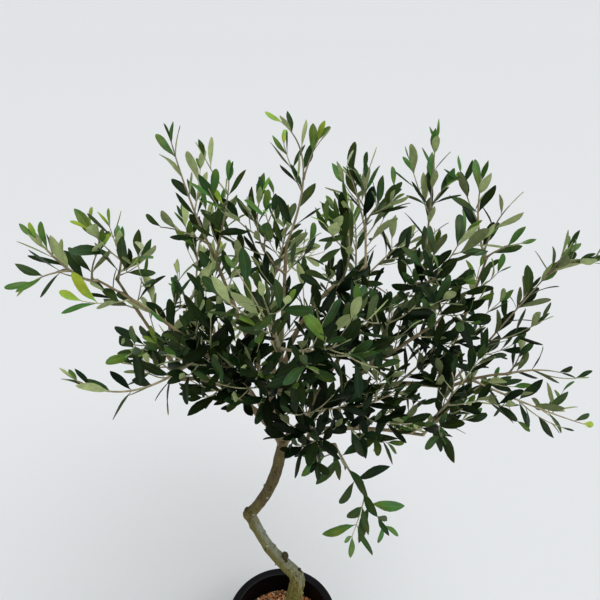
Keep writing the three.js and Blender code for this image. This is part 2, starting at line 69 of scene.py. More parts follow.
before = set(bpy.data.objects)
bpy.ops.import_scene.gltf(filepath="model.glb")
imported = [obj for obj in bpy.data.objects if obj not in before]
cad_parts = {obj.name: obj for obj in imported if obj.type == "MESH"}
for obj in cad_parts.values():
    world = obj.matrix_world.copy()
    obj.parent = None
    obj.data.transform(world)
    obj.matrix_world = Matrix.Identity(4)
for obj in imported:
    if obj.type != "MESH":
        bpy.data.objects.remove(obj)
CAD_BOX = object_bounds()
POT_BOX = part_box("pot")
SOIL_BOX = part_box("soil")

MM = 0.001
UP = np.array([0.0, 0.0, 1.0])
BODY = "root"

# The pot's profile: radius at foot and neck, wall, height of the rim's band, and how much
# further out and in than the solid the rim reaches.
POT_FOOT = 84
POT_NECK = 107
POT_WALL = 3
RIM_BAND = 26
RIM_OUT = 1.4
RIM_IN = 3.5
POT_SIDES = 160
DRAIN_HOLES = 6
DRAIN_CIRCLE = 56
DRAIN_RADIUS = 6.0

# Gravel: how far it runs under the pot's wall and above the solid. Stones are spaced, strewn and
# sized in shares of a middling one's width, and lie up to STONE_LAYERS above one another.
GRAVEL_OUT = 1.9
GRAVEL_UP = 2
STONE_SEED = 3000
STONE_STEP = 0.72
STONE_STRAY = 0.7
STONE_LAYERS = 3.2
STONE_SUNK = 0.35
STONE_WIDTH = (0.55, 1.3)
STONE_DEPTH = (0.72, 1.02)
STONE_HEIGHT = (0.5, 0.85)
STONE_BULGE = 0.42
ROW_STEP = 0.866
# How far below the gravel's top a stone's middle sits, and how far down its underside may be.
STONE_SEAT = 4.2
STONE_DEEPEST = 9
# Wider stones than this share of a middling one get finer faces.
FINE_STONE = 0.85
# Share of all stones that are red, tan or dark, each with those before it; the rest are pumice.
STONE_MIX = (0.42, 0.69, 0.95)

# Limbs, as in the part's source. Places are (bearing in degrees, distance out from the pot's
# axis, height above the fork); bearing 0 is +X and 90 is +Y. The trunk's bends are
# (x, y, height) and a radius.
FORK_HEIGHT = 730
TRUNK_BENDS = [
    ((8, 0, 150), 25), ((10, 0, 178), 21), ((17, -2, 225), 17.8), ((25, -4, 289), 16.4),
    ((34, -8, 349), 14.7), ((32, -8, 376), 14), ((18, -5, 396), 12.7), ((0, 1, 413), 12),
    ((-20, 8, 436), 11.3), ((-41, 15, 477), 10.6), ((-54, 19, 509), 10.7), ((-59, 20, 525), 11),
    ((-48, 19, 544), 10.6), ((-34, 16, 570), 10.5), ((-20, 12, 603), 10.5), ((-7, 8, 644), 10.4),
    ((3, 4, 690), 10.4), ((10, 0, 738), 8.2),
]
# Share of the trunk's length, bearing faced, how far the knot stands out, half its length.
TRUNK_KNOTS = [
    (0.372, 350, 3.5, 9),
    (0.44, 345, 7.5, 9),
    (0.492, 350, 3, 9),
    (0.594, 180, 3, 8),
    (0.648, 170, 5, 9),
]
KNOT_ROUNDNESS = 4
# Pruned stubs, a thorn, buds and scars: share of the trunk's length, bearing faced, tilt upwards,
# how far it stands out of the bark, radius at bark and end, finish (0 bark, 1 cut wood, 2 cork).
TRUNK_STUBS = [
    (0.372, 355, 0.4, 5, 3.8, 2.6, 1), (0.438, 350, 0.35, 8.5, 6.8, 6.2, 1),
    (0.428, 335, 0.1, 4, 4.6, 2.8, 1), (0.443, 190, -0.4, 5, 1.9, 0.6, 1),
    (0.492, 352, 0.1, 2.4, 6.5, 3.4, 0), (0.594, 182, 0, 2.4, 5, 2.4, 0),
    (0.65, 172, 0.3, 3.4, 5.6, 4, 1), (0.449, 240, 0, 0.5, 2.6, 1.8, 1),
    (0.507, 248, 0, 0.5, 2.4, 1.6, 1), (0.517, 292, 0, 0.8, 2.6, 1.6, 2),
    (0.664, 282, 0, 0.9, 2.8, 1.8, 2), (0.76, 288, 0, 0.9, 2.8, 1.8, 2),
    (0.318, 322, 0, 1, 2.8, 1.6, 1), (0.265, 318, 0, 0.8, 2.4, 1.4, 1),
    (0.225, 262, 0, 0.7, 2.6, 1.6, 1), (0.27, 350, 0.2, 1.8, 4, 2.2, 0),
    (0.335, 2, 0, 1.8, 4.5, 2, 0), (0.238, 0, 0, 2, 5, 2.4, 0),
    (0.2, 348, 0, 1.6, 3.4, 1.8, 0), (0.17, 200, 0, 2, 5, 2.6, 0),
    (0.56, 0, 0, 1.6, 4, 2, 0), (0.79, 172, 0, 1.3, 4, 2, 0),
]
ROOT_FLARE = 0.1
ROOT_FLARE_SHARE = 0.12
ROOT_FLARE_LOBES = 5
# Bark relief in three sizes: ridges round the trunk, how they change with the way up that a
# point faces, wavelength along the trunk, where the pattern starts, weight.
BARK_GRAIN = ((3.1, 3.1, 22, 0, 1), (7.5, 0, 13, 40, 0.6), (1.3, 0, 38, 90, 1.3))
# The relief is this many times its size at the foot, and loses so much of that up to this
# share of the length.
FOOT_GRAIN = 2.3
FOOT_GRAIN_FALL = 1.5
FOOT_GRAIN_SHARE = 0.45
TRUNK_SIDES = 56
TRUNK_RINGS = 320
TRUNK_START = 0.012
STUB_SIDES = 20
STUB_RINGS = 30
BOUGH_SIDES = 16
BOUGH_RING_GAP = 3.5
TWIG_SIDES = 7
TWIG_RING_GAP = 9
# How much a limb's foot swells, as a share of its radius, and how many millimetres on it fades.
BOUGH_COLLAR = (0.45, 9)
TWIG_COLLAR = (0.5, 4)
# Bough: the limb it grows on, where, a place on its way, its tip, radius at foot and tip.
BOUGHS = {
    "left": ("trunk", 0.985, (167, 80, 100), (175, 158, 129), (6.4, 3.6)),
    "right": ("trunk", 0.985, (8, 140, 98), (6, 300, 98), (6.8, 3.4)),
    "upright": ("trunk", 0.985, (12, 30, 215), (19, 153, 323), (5.8, 2.6)),
    "left_rise": ("left", 1, (178, 197, 225), (182, 234, 328), (3.4, 2)),
    "front_left": ("left", 0.14, (232, 62, 150), (223, 132, 253), (4.6, 2.8)),
    "left_reach": ("front_left", 1, (195, 188, 298), (184, 259, 331), (2.6, 1.8)),
    "back_left": ("upright", 0.1, (150, 50, 190), (150, 115, 345), (4.6, 2.6)),
    "top": ("upright", 0.22, (80, 55, 200), (80, 102, 341), (4.2, 2.6)),
    "front": ("front_left", 0.12, (280, 62, 165), (275, 130, 290), (4.2, 2.6)),
    "front_right": ("right", 0.12, (342, 115, 150), (356, 255, 262), (4.6, 2.2)),
    "back_right": ("right", 0.2, (20, 130, 175), (22, 270, 284), (4.4, 2.4)),
    "low": ("right", 0.08, (2, 130, 30), (3, 262, 6), (4.6, 2.8)),
    "front_low": ("low", 0.16, (322, 72, 42), (330, 112, 48), (3.6, 2.4)),
    "back": ("back_left", 0.12, (95, 100, 135), (94, 215, 235), (4.4, 2.4)),
    "far_right": ("back_right", 0.14, (52, 125, 135), (50, 235, 225), (4, 2.4)),
    "far_left": ("back", 0.14, (138, 110, 130), (133, 235, 215), (4, 2.4)),
    "right_end": ("right", 1, (5, 349, 120), (4, 396, 130), (3, 2)),
    "right_rise": ("right", 0.93, (11, 322, 210), (13, 355, 322), (3, 1.9)),
}
# Spray: the bough it grows on, where, a place on its way, its tip, side twigs, arms.
SPRAYS = {
    "left_tip": ("left_reach", 1, (184, 292, 345), (183, 336, 398), 1,
        ((0.08, (183, 249, 381)), (0.4, (187, 347, 340)))),
    "left_fork": ("left_rise", 1, (182, 224, 356), (180, 224, 382), 2, ()),
    "left_low": ("front_left", 1, (215, 228, 217), (205, 300, 230), 1, ((0.12, (210, 186, 266)),)),
    "left_under": ("left", 1, (173, 179, 139), (172, 203, 159), 2, ()),
    "left_base": ("left", 0.45, (215, 75, 160), (224, 122, 203), 2, ()),
    "left_front": ("front_left", 0.62, (224, 118, 225), (218, 150, 290), 4, ((0.2, (242, 105, 265)),)),
    "left_inner": ("left_rise", 0.4, (190, 165, 240), (197, 139, 274), 3,
        ((0.25, (188, 174, 220)), (0.5, (178, 148, 307)))),
    "left_top": ("back_left", 1, (150, 150, 424), (152, 171, 512), 1, ((0.08, (166, 178, 392)),)),
    "left_crest": ("back_left", 0.96, (147, 88, 411), (144, 80, 461), 2, ()),
    "top_left": ("top", 0.82, (112, 62, 365), (106, 62, 442), 2, ((0.4, (91, 39, 418)),)),
    "top": ("top", 1, (69, 127, 460), (84, 112, 535), 1, ((0.52, (61, 141, 505)),)),
    "top_right": ("upright", 1, (29, 165, 385), (35, 174, 452), 2,
        ((0.4, (30, 126, 480)), (0.5, (27, 193, 421)))),
    "front_top": ("upright", 0.78, (335, 116, 365), (328, 114, 462), 2, ()),
    "right_top": ("back_right", 1, (25, 279, 411), (26, 278, 506), 1, ((0.5, (24, 303, 433)),)),
    "right_front": ("back_right", 0.93, (10, 252, 300), (0, 247, 338), 3, ()),
    "right_high": ("right_rise", 1, (14, 334, 382), (14, 327, 455), 1,
        ((0.1, (10, 367, 419)), (0.02, (8, 388, 360)))),
    "right_tip": ("right", 1, (7, 395, 235), (7, 462, 336), 2, ((0.88, (6, 486, 334)),)),
    "right_level": ("right_end", 1, (4, 444, 136), (3, 486, 135), 1, ((0.05, (4, 412, 178)),)),
    "right_low": ("right_end", 0.42, (0, 435, 85), (0, 537, 43), 2, ()),
    "right_under": ("low", 1, (2, 306, 74), (4, 354, 106), 2, ((0.05, (3, 241, 19)),)),
    "right_base": ("right", 0.3, (336, 149, 132), (337, 196, 171), 4, ()),
    "low_middle": ("low", 0.4, (344, 168, 91), (344, 195, 122), 2, ((0.1, (11, 221, -7)),)),
    "front_right": ("low", 0.9, (352, 280, 118), (347, 278, 198), 3, ()),
    "right_mid": ("front_right", 1, (354, 262, 284), (350, 264, 302), 2, ()),
    "right_inner": ("front_right", 0.6, (346, 170, 240), (345, 178, 290), 3, ()),
    "drooping": ("front_low", 1, (334, 156, -35), (334, 206, -107), 1, ((0.06, (323, 89, 15)),)),
    "front_low": ("front_low", 0.72, (302, 110, 111), (290, 134, 195), 3, ()),
    "front_left": ("front", 1, (272, 160, 340), (269, 182, 390), 2, ((0.1, (252, 130, 398)),)),
    "front_mid": ("front", 0.96, (290, 162, 295), (297, 195, 318), 3, ()),
    "front_centre": ("front", 0.5, (262, 95, 190), (248, 112, 250), 4, ((0.2, (284, 122, 200)),)),
    "centre": ("upright", 0.42, (345, 70, 200), (335, 112, 245), 4, ()),
    "back_left": ("far_left", 1, (128, 223, 228), (122, 241, 261), 2, ((0.1, (128, 217, 144)),)),
    "back_left_high": ("far_left", 0.94, (128, 234, 304), (123, 230, 346), 2, ()),
    "back": ("back", 1, (89, 270, 246), (83, 327, 245), 2, ()),
    "back_high": ("back", 0.9, (87, 205, 306), (85, 213, 350), 2, ()),
    "back_low": ("back", 0.72, (104, 220, 155), (108, 285, 150), 2, ()),
    "back_right": ("far_right", 1, (47, 285, 262), (44, 335, 292), 2, ((0.1, (33, 300, 160)),)),
    "back_right_high": ("far_right", 0.94, (54, 243, 313), (57, 248, 359), 2, ()),
    "right_column": ("right", 0.72, (6, 251, 160), (5, 272, 206), 3, ()),
}
STEM_RADIUS = (2.7, 1.8)
TWIG_RADIUS = (1.3, 1.2)
ARM_BOW = 0.08
TWIG_SEED = 1000
LEAF_SEED = 5000
FINER_SEED = 7000
BOUGH_SHOOT_SEED = 7500
# Side twigs, as in the source: shares of the stem where they start and end, length and how it
# varies, lean and turn in degrees, rise as a share of the length, and the room that they keep.
FIRST_TWIG = 0.24
LAST_TWIG = 0.9
TWIG_LENGTH = 88
TWIG_SPREAD = (0.75, 1.25)
TWIG_TAPER = 0.3
TWIG_LEAN = 52
TWIG_LEAN_SPREAD = 16
TWIG_TURN_SPREAD = 50
TWIG_RISE = 0.22
TWIG_TIP_RISE = 0.16
TWIG_ROOT = 0.25
CLEAR = 2.2
BALL_GAP = 5
ROUTE_STEPS = 200
NEARBY = 1e-4

# What the scene adds: finer shoots on stems, twigs and boughs, and real leaf spacing.
# The share of leaves that a spray has lost; a spray not named here has lost LOST_LEAVES.
LOST_LEAVES = 0.28
THINNED = {
    "left_low": 0.05, "left_base": 0.4, "left_under": 0.5, "left_inner": 0.48, "left_top": 0.2,
    "left_fork": 0.3, "left_tip": 0, "left_crest": 0.25, "top": 0.2, "top_right": 0.4, "top_left": 0.4,
    "right_top": 0, "right_front": 0.3, "right_tip": 0, "right_level": 0.25, "right_under": 0,
    "right_base": 0.45, "right_column": 0.1, "low_middle": 0.42, "front_right": 0.3, "front_top": 0.12,
    "front_low": 0.1, "back_right": 0.15, "back_left_high": 0.35, "drooping": 0,
}
# Radius at foot and tip of stems, arms, twigs, finer shoots and the boughs' own shoots. Finer
# shoots on arms and twigs are shorter and those on boughs longer.
REAL_STEM = (2.3, 0.9)
REAL_ARM = (1.7, 0.8)
REAL_TWIG = (1.25, 0.7)
REAL_SHOOT = (0.95, 0.6)
BOUGH_SHOOT = (1.2, 0.65)
FINER_LENGTH = 58
SHORTER = 0.8
LONGER = 1.2
FINER_ON_STEM = {1: 0, 2: 2, 3: 5, 4: 7}
BOUGH_SHOOT_GAP = 40
BOUGH_SHOOT_SHARE = 0.6
# Leaves grow between these shares of a shoot's length, the first pair this part of a gap on. A
# shoot with room for fewer pairs than SHORT_SHOOT has leaves like those at a longer one's tip.
BARE_SHARE = 0.1
LEAFY_END = 0.985
FIRST_PAIR = 0.3
SHORT_SHOOT = 4
# How leaves stand on a shoot: lean, turn and tilt in degrees, and how far they face and rise up.
LEAF_LEAN = 46
TIP_LEAF_LEAN = 19
LEAF_LEAN_SPREAD = 22
LEAF_TURN_SPREAD = 24
LEAF_TILT_SPREAD = 60
LEAF_LIFT = 0.75
# The leaves' broad sides are turned this much towards front and back.
LEAF_TURN = np.array([0.05, -0.28, 0.1])
LEAF_RISE = 0.26
INNER_RISE = (0.35, 1)
# A leaf at a shoot's tip is this share of a full-grown one; full-grown ones vary by this much,
# and their width goes with this power of their size.
TIP_LEAF = 0.58
LEAF_SPREAD = (0.78, 1.14)
WIDTH_POWER = 0.8
# How fast lean, size and age reach their full values on the way from a shoot's tip to its foot,
# and how near the tip the youngest leaves stay.
LEAN_PACE = 2
SIZE_PACE = 3
AGE_PACE = 1.6
YOUNG_SHARE = 0.4
LOW_LEAF_LOSS = 0.08
# The shoot that hangs free has larger, brighter leaves that stand out further and face the light.
HANGING = "drooping"
HANGING_SIZE = 1.18
HANGING_LEAN = 18
HANGING_AGE = -1.0
HANGING_FACE = np.array([0.1, -1.0, 0.9])
# The crown's heart and reach: leaves near the heart rise less and are painted darker as painted shade.
CROWN_HEART = np.array([115.0, -85.0, 965.0])
CROWN_REACH = np.array([330.0, 270.0, 250.0])
# Leaves lower than this are smaller and painted darker as painted shade, fully so this much further down.
SHADED_BELOW = 1060
SHADED_DROP = 180
# A leaf's age and painted shade, from 0 to 4: at a shoot's tip, and what its foot, the crown's inside
# and its shaded underside (these two painted shade), the spray and chance add.
TIP_AGE = 0.96
FOOT_AGE = 1.5
INNER_SHADE_AGE = 2.0
LOW_SHADE_AGE = 0.7
SPRAY_AGE_SPREAD = 1.2
AGE_SPREAD = 1.6
# Leaf ages: name, colour above, felt below, shine (old leaves have lost much of their wax), and
# how much paler the felt and the midrib are. The old and inner rows also carry painted shade.
LEAF_AGES = (
    ("young", "leaf_young", "felt_young", 0.26, 1, 1.15),
    ("bright", "leaf_bright", "felt_pale", 0.26, 1, 1.35),
    ("grown", "leaf_mid", "felt_pale", 0.24, 0.9, 1.55),
    ("old", "leaf_dark", "felt_dull", 0.14, 1, 1.6),
    ("inner", "leaf_deep", "felt_dull", 0.08, 0.6, 1.5),
)
# The first word of its name is the part of the crown that a spray or bough is in, except for:
SECTORS = {"upright": "top", "centre": "front", "drooping": "low", "far": "back"}

# Along a leaf: shares of its length, with its stalk below 0. Across it: the share of its half
# width, and above (1), on (0) or under (-1) its edge.
LEAF_ROWS = (-0.09, -0.015, 0.07, 0.2, 0.37, 0.55, 0.73, 0.88, 0.965, 1.0)
LEAF_COLUMNS = (
    (-1, 0), (-0.55, 1), (-0.07, 1), (0.07, 1), (0.55, 1),
    (1, 0), (0.55, -1), (0.07, -1), (-0.07, -1), (-0.55, -1),
)
MIDRIB_COLUMN = 2
UNDER_COLUMN = 5
# A blade's stalk, tip, fullest place, outline, and how it bows, twists, folds and wavers.
STALK_END = 0.12
STALK_RADIUS = 0.55
TIP_RADIUS = 0.12
WIDEST = (0.5, 0.64)
FOOT_FULLNESS = 0.92
BROADNESS = (0.76, 1.08)
BOW = (-0.12, 0.26)
TWIST = (-0.5, 0.5)
FOLD = (0.02, 0.42)
EDGE_DROOP = 0.16
WAVER = 0.03
WAVER_TURNS = 0.8
# The midrib: its half width as a share of the blade's, and its height above and below the blade
# as a share of the usual thickness.
RIB_HALF = 0.1
RIB_ABOVE = 0.5
RIB_BELOW = 1.7

# A colour Mix node's two colours among its inputs, and its settings.
COLOUR_A = 6
COLOUR_B = 7
MIX = {"data_type": "RGBA", "out": 2}
MULTIPLY = {"data_type": "RGBA", "blend_type": "MULTIPLY", "out": 2}


def linear(code):
    """Linear red, green, blue and alpha from an sRGB hex value."""
    shares = [int(code[i : i + 2], 16) / 255 for i in (1, 3, 5)]
    return tuple(c / 12.92 if c <= 0.04045 else ((c + 0.055) / 1.055) ** 2.4 for c in shares) + (1.0,)


def size(label, words, default):
    """A length in metres that the sidebar shows."""
    return FloatProperty(
        name=label, description=words, default=default, min=0.0, max=1.0, unit="LENGTH", precision=4
    )


def colour(label, words, code):
    """A colour that the sidebar shows, from its sRGB hex value."""
    return FloatVectorProperty(
        name=label, description=words, default=linear(code), subtype="COLOR", size=4, min=0.0, max=1.0
    )


class OliveSizes(bpy.types.PropertyGroup):
    """Sizes of the details that the scene adds."""

    leaf_length: size("Leaf length", "Length of a full-grown leaf", 0.05)
    leaf_width: size("Leaf width", "Greatest width of a full-grown leaf", 0.0162)
    leaf_thickness: size("Leaf thickness", "Thickness of a leaf's blade", 0.0006)
    pair_gap: size("Pair spacing", "Distance along a shoot between pairs of leaves", 0.029)
    bark_relief: size("Bark relief", "Depth of the trunk's furrows", 0.0012)
    stone: size("Stone size", "Width of a middling stone of the gravel", 0.0047)
    rim_roll: size("Rim roll", "Radius of the pot's rounded rim edges", 0.0022)


class OliveColours(bpy.types.PropertyGroup):
    """Base colours of the finishes."""

    pot: colour("Pot", "Black moulded polypropylene", "#0a0a0d")
    soil: colour("Potting mix", "Damp peat and bark under the gravel", "#2e2118")
    bark_low: colour("Bark low", "Green-brown bark above the gravel", "#7a7138")
    bark_mid: colour("Bark middle", "Grey-brown bark of the bend", "#716c3b")
    bark_high: colour("Bark high", "Brown bark under the fork", "#63573a")
    bough: colour("Bough bark", "Smooth grey bark of the boughs", "#87775a")
    twig: colour("Twig bark", "Grey-brown skin of older twigs", "#a29679")
    shoot: colour("Shoot bark", "Green-grey skin of young shoots", "#b3b089")
    leaf_young: colour("Young leaf", "Upper side of the youngest leaves", "#8fb03c")
    leaf_bright: colour("Bright leaf", "Upper side of this year's outer leaves", "#53752f")
    leaf_mid: colour("Leaf", "Upper side of grown leaves", "#33491f")
    leaf_dark: colour("Old leaf", "Upper side of old leaves", "#1d2d12")
    # Painted shade: the darkest green, for leaves deep in the crown.
    leaf_deep: colour("Inner leaf", "Upper side of leaves deep in the crown", "#0f1c0a")
    felt_young: colour("Young underside", "Pale felt under young leaves", "#dde6b6")
    felt_pale: colour("Underside", "Silver felt under grown leaves", "#bfce8e")
    felt_dull: colour("Old underside", "Dull felt under inner leaves", "#828e5f")
    # Painted light: the pale grey painted on the lit side of the bend, also the corky scars' base colour.
    bark_grey_and_painted_lit_side: colour("Grey bark and painted lit side", "Grey painted on the lit side of the bend as painted light, and the corky scars' base", "#8a8d80")
    clay: colour("Fired clay", "Red-brown stones", "#d08a57")
    clay_light: colour("Light clay", "Orange-tan stones", "#e8bb85")
    clay_dark: colour("Dark clay", "Dark brown stones", "#6e4a33")
    pumice: colour("Pumice", "Whitish stones", "#f3e7d9")
    floor: colour("Floor", "Plain pale floor", "#f0f1f2")


class OliveTree(bpy.types.PropertyGroup):
    """All settings of the olive tree."""

    sizes: PointerProperty(type=OliveSizes)
    colours: PointerProperty(type=OliveColours)


def add_node(tree, kind, inputs=(), stops=(), out=0, **settings):
    """Adds a node with its settings and gives one of its outputs; socket inputs are linked."""
    node = tree.nodes.new("ShaderNode" + kind)
    for key, value in settings.items():
        setattr(node, key, value)
    for key, value in dict(inputs).items():
        if isinstance(value, bpy.types.NodeSocket):
            tree.links.new(value, node.inputs[key])
        else:
            node.inputs[key].default_value = value
    for i, (share, tint) in enumerate(stops):
        element = node.color_ramp.elements[i] if i < 2 else node.color_ramp.elements.new(share)
        element.position = share
        element.color = tint
    return node.outputs[out] if node.outputs else None


def start_finish(name):
    """A new material, what adds its nodes, and the socket that gives each point's place in metres."""
    material = bpy.data.materials.new(name)
    material.use_nodes = True
    material.node_tree.nodes.clear()
    add = partial(add_node, material.node_tree)
    return material, add, add("TexCoord", out="Object")


def start_mottled(name, cell, detail, stops):
    """Starts a finish whose colour follows a noise with cells this many millimetres wide."""
    material, add, where = start_finish(name)
    grain = add("TexNoise", cells(where, cell, Detail=detail))
    return material, add, where, grain, add("ValToRGB", {"Fac": grain}, stops)


def end_finish(material, tint, roughness, ior=1.5, specular=0.5, bump=None):
    """Ends a finish in a Principled surface; a bump is its height, distance in metres and strength."""
    add = partial(add_node, material.node_tree)
    inputs = {"Base Color": tint, "Roughness": roughness, "IOR": ior, "Specular IOR Level": specular}
    if bump:
        inputs["Normal"] = add("Bump", dict(zip(("Height", "Distance", "Strength"), bump)))
    add("OutputMaterial", {"Surface": add("BsdfPrincipled", inputs)})
    return material


def cells(where, millimetres, **more):
    """The inputs of a pattern whose cells are this wide."""
    return {"Vector": where, "Scale": 1000.0 / millimetres, **more}


def shade(rgba, factor):
    """A colour made lighter or darker."""
    return tuple(min(1.0, c * factor) for c in rgba[:3]) + (1.0,)


def grey(level):
    """A stop of a ramp that is read as a number."""
    return (level, level, level, 1.0)


def lay_over(add, tint, pattern, start, full, most, over):
    """Covers a tint with another colour, the most where a pattern has gone from start to full, and
    gives the new tint and how far each point is covered."""
    cover = add("MapRange", {"Value": pattern, "From Min": start, "From Max": full, "To Max": most})
    return add("Mix", {0: cover, COLOUR_A: tint, COLOUR_B: over}, **MIX), cover


def leaf_cuticle(name, base, shine, lightness=0.25):
    """Waxy cuticle of an olive leaf's upper side, grown: leathery, half-gloss, faintly mottled."""
    stops = [(0.3, shade(base, 1 - lightness)), (0.5, base), (0.72, shade(base, 1 + lightness))]
    material, add, where, _, toned = start_mottled(name, 16, 3.0, stops)
    # From leaf to leaf the green runs from bluish to olive; within a leaf it is only mottled.
    drift = add("TexNoise", cells(where, 38, Detail=1.0))
    stops = [(0.36, (0.72, 1.0, 1.3, 1.0)), (0.5, grey(1.0)), (0.64, (1.3, 1.0, 0.8, 1.0))]
    hue = add("ValToRGB", {"Fac": drift}, stops)
    tint = add("Mix", {0: 1.0, COLOUR_A: toned, COLOUR_B: hue}, **MULTIPLY)
    # Veins lie under 2 mm apart; only their faint pebbling shows.
    veins = add("TexNoise", cells(where, 1.8, Detail=2.0))
    return end_finish(material, tint, 0.46, 1.42, shine, (veins, 0.00025, 0.35))


def leaf_felt(name, base):
    """Felt of fine scales under an olive leaf: matt and silvery, slightly uneven."""
    stops = [(0.32, shade(base, 0.82)), (0.7, shade(base, 1.14))]
    material, *_, nap, tint = start_mottled(name, 9, 4.0, stops)
    return end_finish(material, tint, 0.82, 1.4, 0.25, (nap, 0.0002, 0.3))


def trunk_bark(colours):
    """Young olive bark, grown: matt, finely furrowed along the trunk, greener towards the soil."""
    material, add, where = start_finish("young_olive_bark")
    low, middle, high = colours.bark_low, colours.bark_mid, colours.bark_high
    height = add("SeparateXYZ", {"Vector": where}, out="Z")
    rise = add("MapRange", {"Value": height, "From Min": 0.16, "From Max": 0.74})
    drift = add("TexNoise", cells(where, 45, Detail=3.0))
    blurred = add("Math", {0: drift, 1: 0.34, 2: rise}, operation="MULTIPLY_ADD")
    levelled = add("Math", {0: blurred, 1: 0.17}, operation="SUBTRACT")
    stops = [(0.0, low), (1.0, high), (0.3, shade(low, 1.05)), (0.42, middle)]
    stops += [(0.58, shade(middle, 1.08)), (0.7, high)]
    graded = add("ValToRGB", {"Fac": levelled}, stops)
    # Painted light: the side that the light reaches is painted pale grey between the pot's rim and the knee.
    light = {0: add("TexCoord", out="Normal"), 1: (0.86, -0.22, 0.46)}
    sunny = add("VectorMath", light, operation="DOT_PRODUCT", out="Value")
    faced = add("MapRange", {"Value": sunny, "From Min": 0.25, "From Max": 0.85, "To Max": 0.9})
    stops = [(0.0, grey(0.0)), (1.0, grey(0.0)), (0.26, grey(0.0)), (0.42, grey(0.7))]
    stops += [(0.6, grey(1.0)), (0.66, grey(0.0))]
    # The painted light's mask: how squarely a point faces the light, between the rim and the knee.
    bloom = add("Math", {0: faced, 1: add("ValToRGB", {"Fac": rise}, stops)}, operation="MULTIPLY")
    tint = add("Mix", {0: bloom, COLOUR_A: graded, COLOUR_B: colours.bark_grey_and_painted_lit_side}, **MIX)
    # Furrows run along the trunk: the pattern is drawn out to five times its width.
    drawn = add("Mapping", {"Vector": where, "Scale": (1.0, 1.0, 0.2)})
    furrows = add("TexNoise", cells(drawn, 4.5, Detail=5.0, Roughness=0.62))
    stops = [(0.34, (0.42, 0.4, 0.36, 1.0)), (0.62, (1.12, 1.12, 1.1, 1.0)), (0.47, (0.9, 0.9, 0.88, 1.0))]
    lines = add("ValToRGB", {"Fac": furrows}, stops)
    tint = add("Mix", {0: 0.85, COLOUR_A: tint, COLOUR_B: lines}, **MULTIPLY)
    # Patches of paler, drier skin, about 25 mm across.
    patches = add("TexNoise", cells(where, 26, Detail=6.0))
    tint, _ = lay_over(add, tint, patches, 0.52, 0.7, 0.4, shade(middle, 1.4))
    # Lenticels: pale corky dots some 7 mm apart and wider than high.
    flat = add("Mapping", {"Vector": where, "Scale": (1.0, 1.0, 1.7)})
    pores = add("TexVoronoi", cells(flat, 7.5))
    tint, dots = lay_over(add, tint, pores, 0.2, 0.13, 0.6, shade(middle, 1.9))
    # Dark pits where buds died, most of them near the soil.
    pits = add("TexNoise", cells(where, 7, Detail=2.0))
    fewer = {"Value": height, "From Min": 0.5, "From Max": 0.3, "To Min": 0.09, "To Max": 0.0}
    deep = add("Math", {0: pits, 1: add("MapRange", fewer)}, operation="SUBTRACT")
    tint, _ = lay_over(add, tint, deep, 0.555, 0.615, 0.8, shade(low, 0.28))
    raised = add("Math", {0: dots, 1: 0.5, 2: furrows}, operation="MULTIPLY_ADD")
    return end_finish(material, tint, 0.86, 1.45, 0.25, (raised, 0.0011, 0.7))


def limb_bark(name, base, pore_gap):
    """Thin smooth bark of boughs and shoots: matt, unevenly toned, with small pale pores."""
    stops = [(0.3, shade(base, 0.62)), (0.72, shade(base, 1.32)), (0.5, base)]
    material, add, where, drift, tint = start_mottled(name, 11, 6.0, stops)
    pores = add("TexVoronoi", cells(where, pore_gap))
    tint, _ = lay_over(add, tint, pores, 0.2, 0.12, 0.45, shade(base, 1.7))
    return end_finish(material, tint, 0.8, 1.45, 0.3, (drift, 0.0006, 0.5))


def pot_plastic(name, base, shine):
    """Black polypropylene, injection moulded: a fine satin grain, dull scuffs and a bloom of dust."""
    stops = [(0.42, base), (0.78, shade(base, 1.6))]
    material, add, where, dust, bloom = start_mottled(name, 55, 6.0, stops)
    spread = {"Value": dust, "From Min": 0.3, "From Max": 0.7, "To Min": 0.38, "To Max": 0.58}
    satin = add("MapRange", spread)
    grain = add("TexNoise", cells(where, 1.4, Detail=2.0))
    return end_finish(material, bloom, satin, 1.49, shine, (grain, 0.00012, 0.35))


def stone_finish(name, base):
    """Fired clay or pumice, crushed: dusty, porous and fully matt."""
    stops = [(0.3, shade(base, 0.6)), (0.7, shade(base, 1.3))]
    material, *_, grit, tint = start_mottled(name, 2.6, 5.0, stops)
    return end_finish(material, tint, 0.93, 1.45, 0.2, (grit, 0.0005, 0.6))


def peat(base):
    """Potting mix of peat and bark, damp: dark, crumbly and matt."""
    stops = [(0.35, shade(base, 0.5)), (0.68, shade(base, 1.5))]
    material, *_, crumbs, tint = start_mottled("peat_and_bark_mix", 5, 6.0, stops)
    return end_finish(material, tint, 0.95, 1.4, bump=(crumbs, 0.002, 0.8))


def unit(v):
    """Vectors made one long, along the last axis."""
    return v / np.linalg.norm(v, axis=-1, keepdims=True)


def compass(bearing):
    """The level direction of a bearing in degrees: 0 is +X and 90 is +Y."""
    around = math.radians(bearing)
    return np.array([math.cos(around), math.sin(around), 0.0])


def place(spot):
    """A place in the crown from its bearing, distance out and height above the fork."""
    bearing, out, rise = spot
    return compass(bearing) * out + UP * (FORK_HEIGHT + rise)


def between(span, roll):
    """A value between two, for a roll from 0 to 1."""
    return span[0] + (span[1] - span[0]) * roll


def dice(seed):
    """A generator of shares from 0 to 1 that gives the same run for the same seed."""
    state = (seed * 2654435761) & 0xFFFFFFFF

    def roll():
        nonlocal state
        state = (state * 1664525 + 1013904223) & 0xFFFFFFFF
        return state / 4294967296

    return roll


def swing(roll, span):
    """A chance value around 0 that covers a span."""
    return span * (roll() - 0.5)


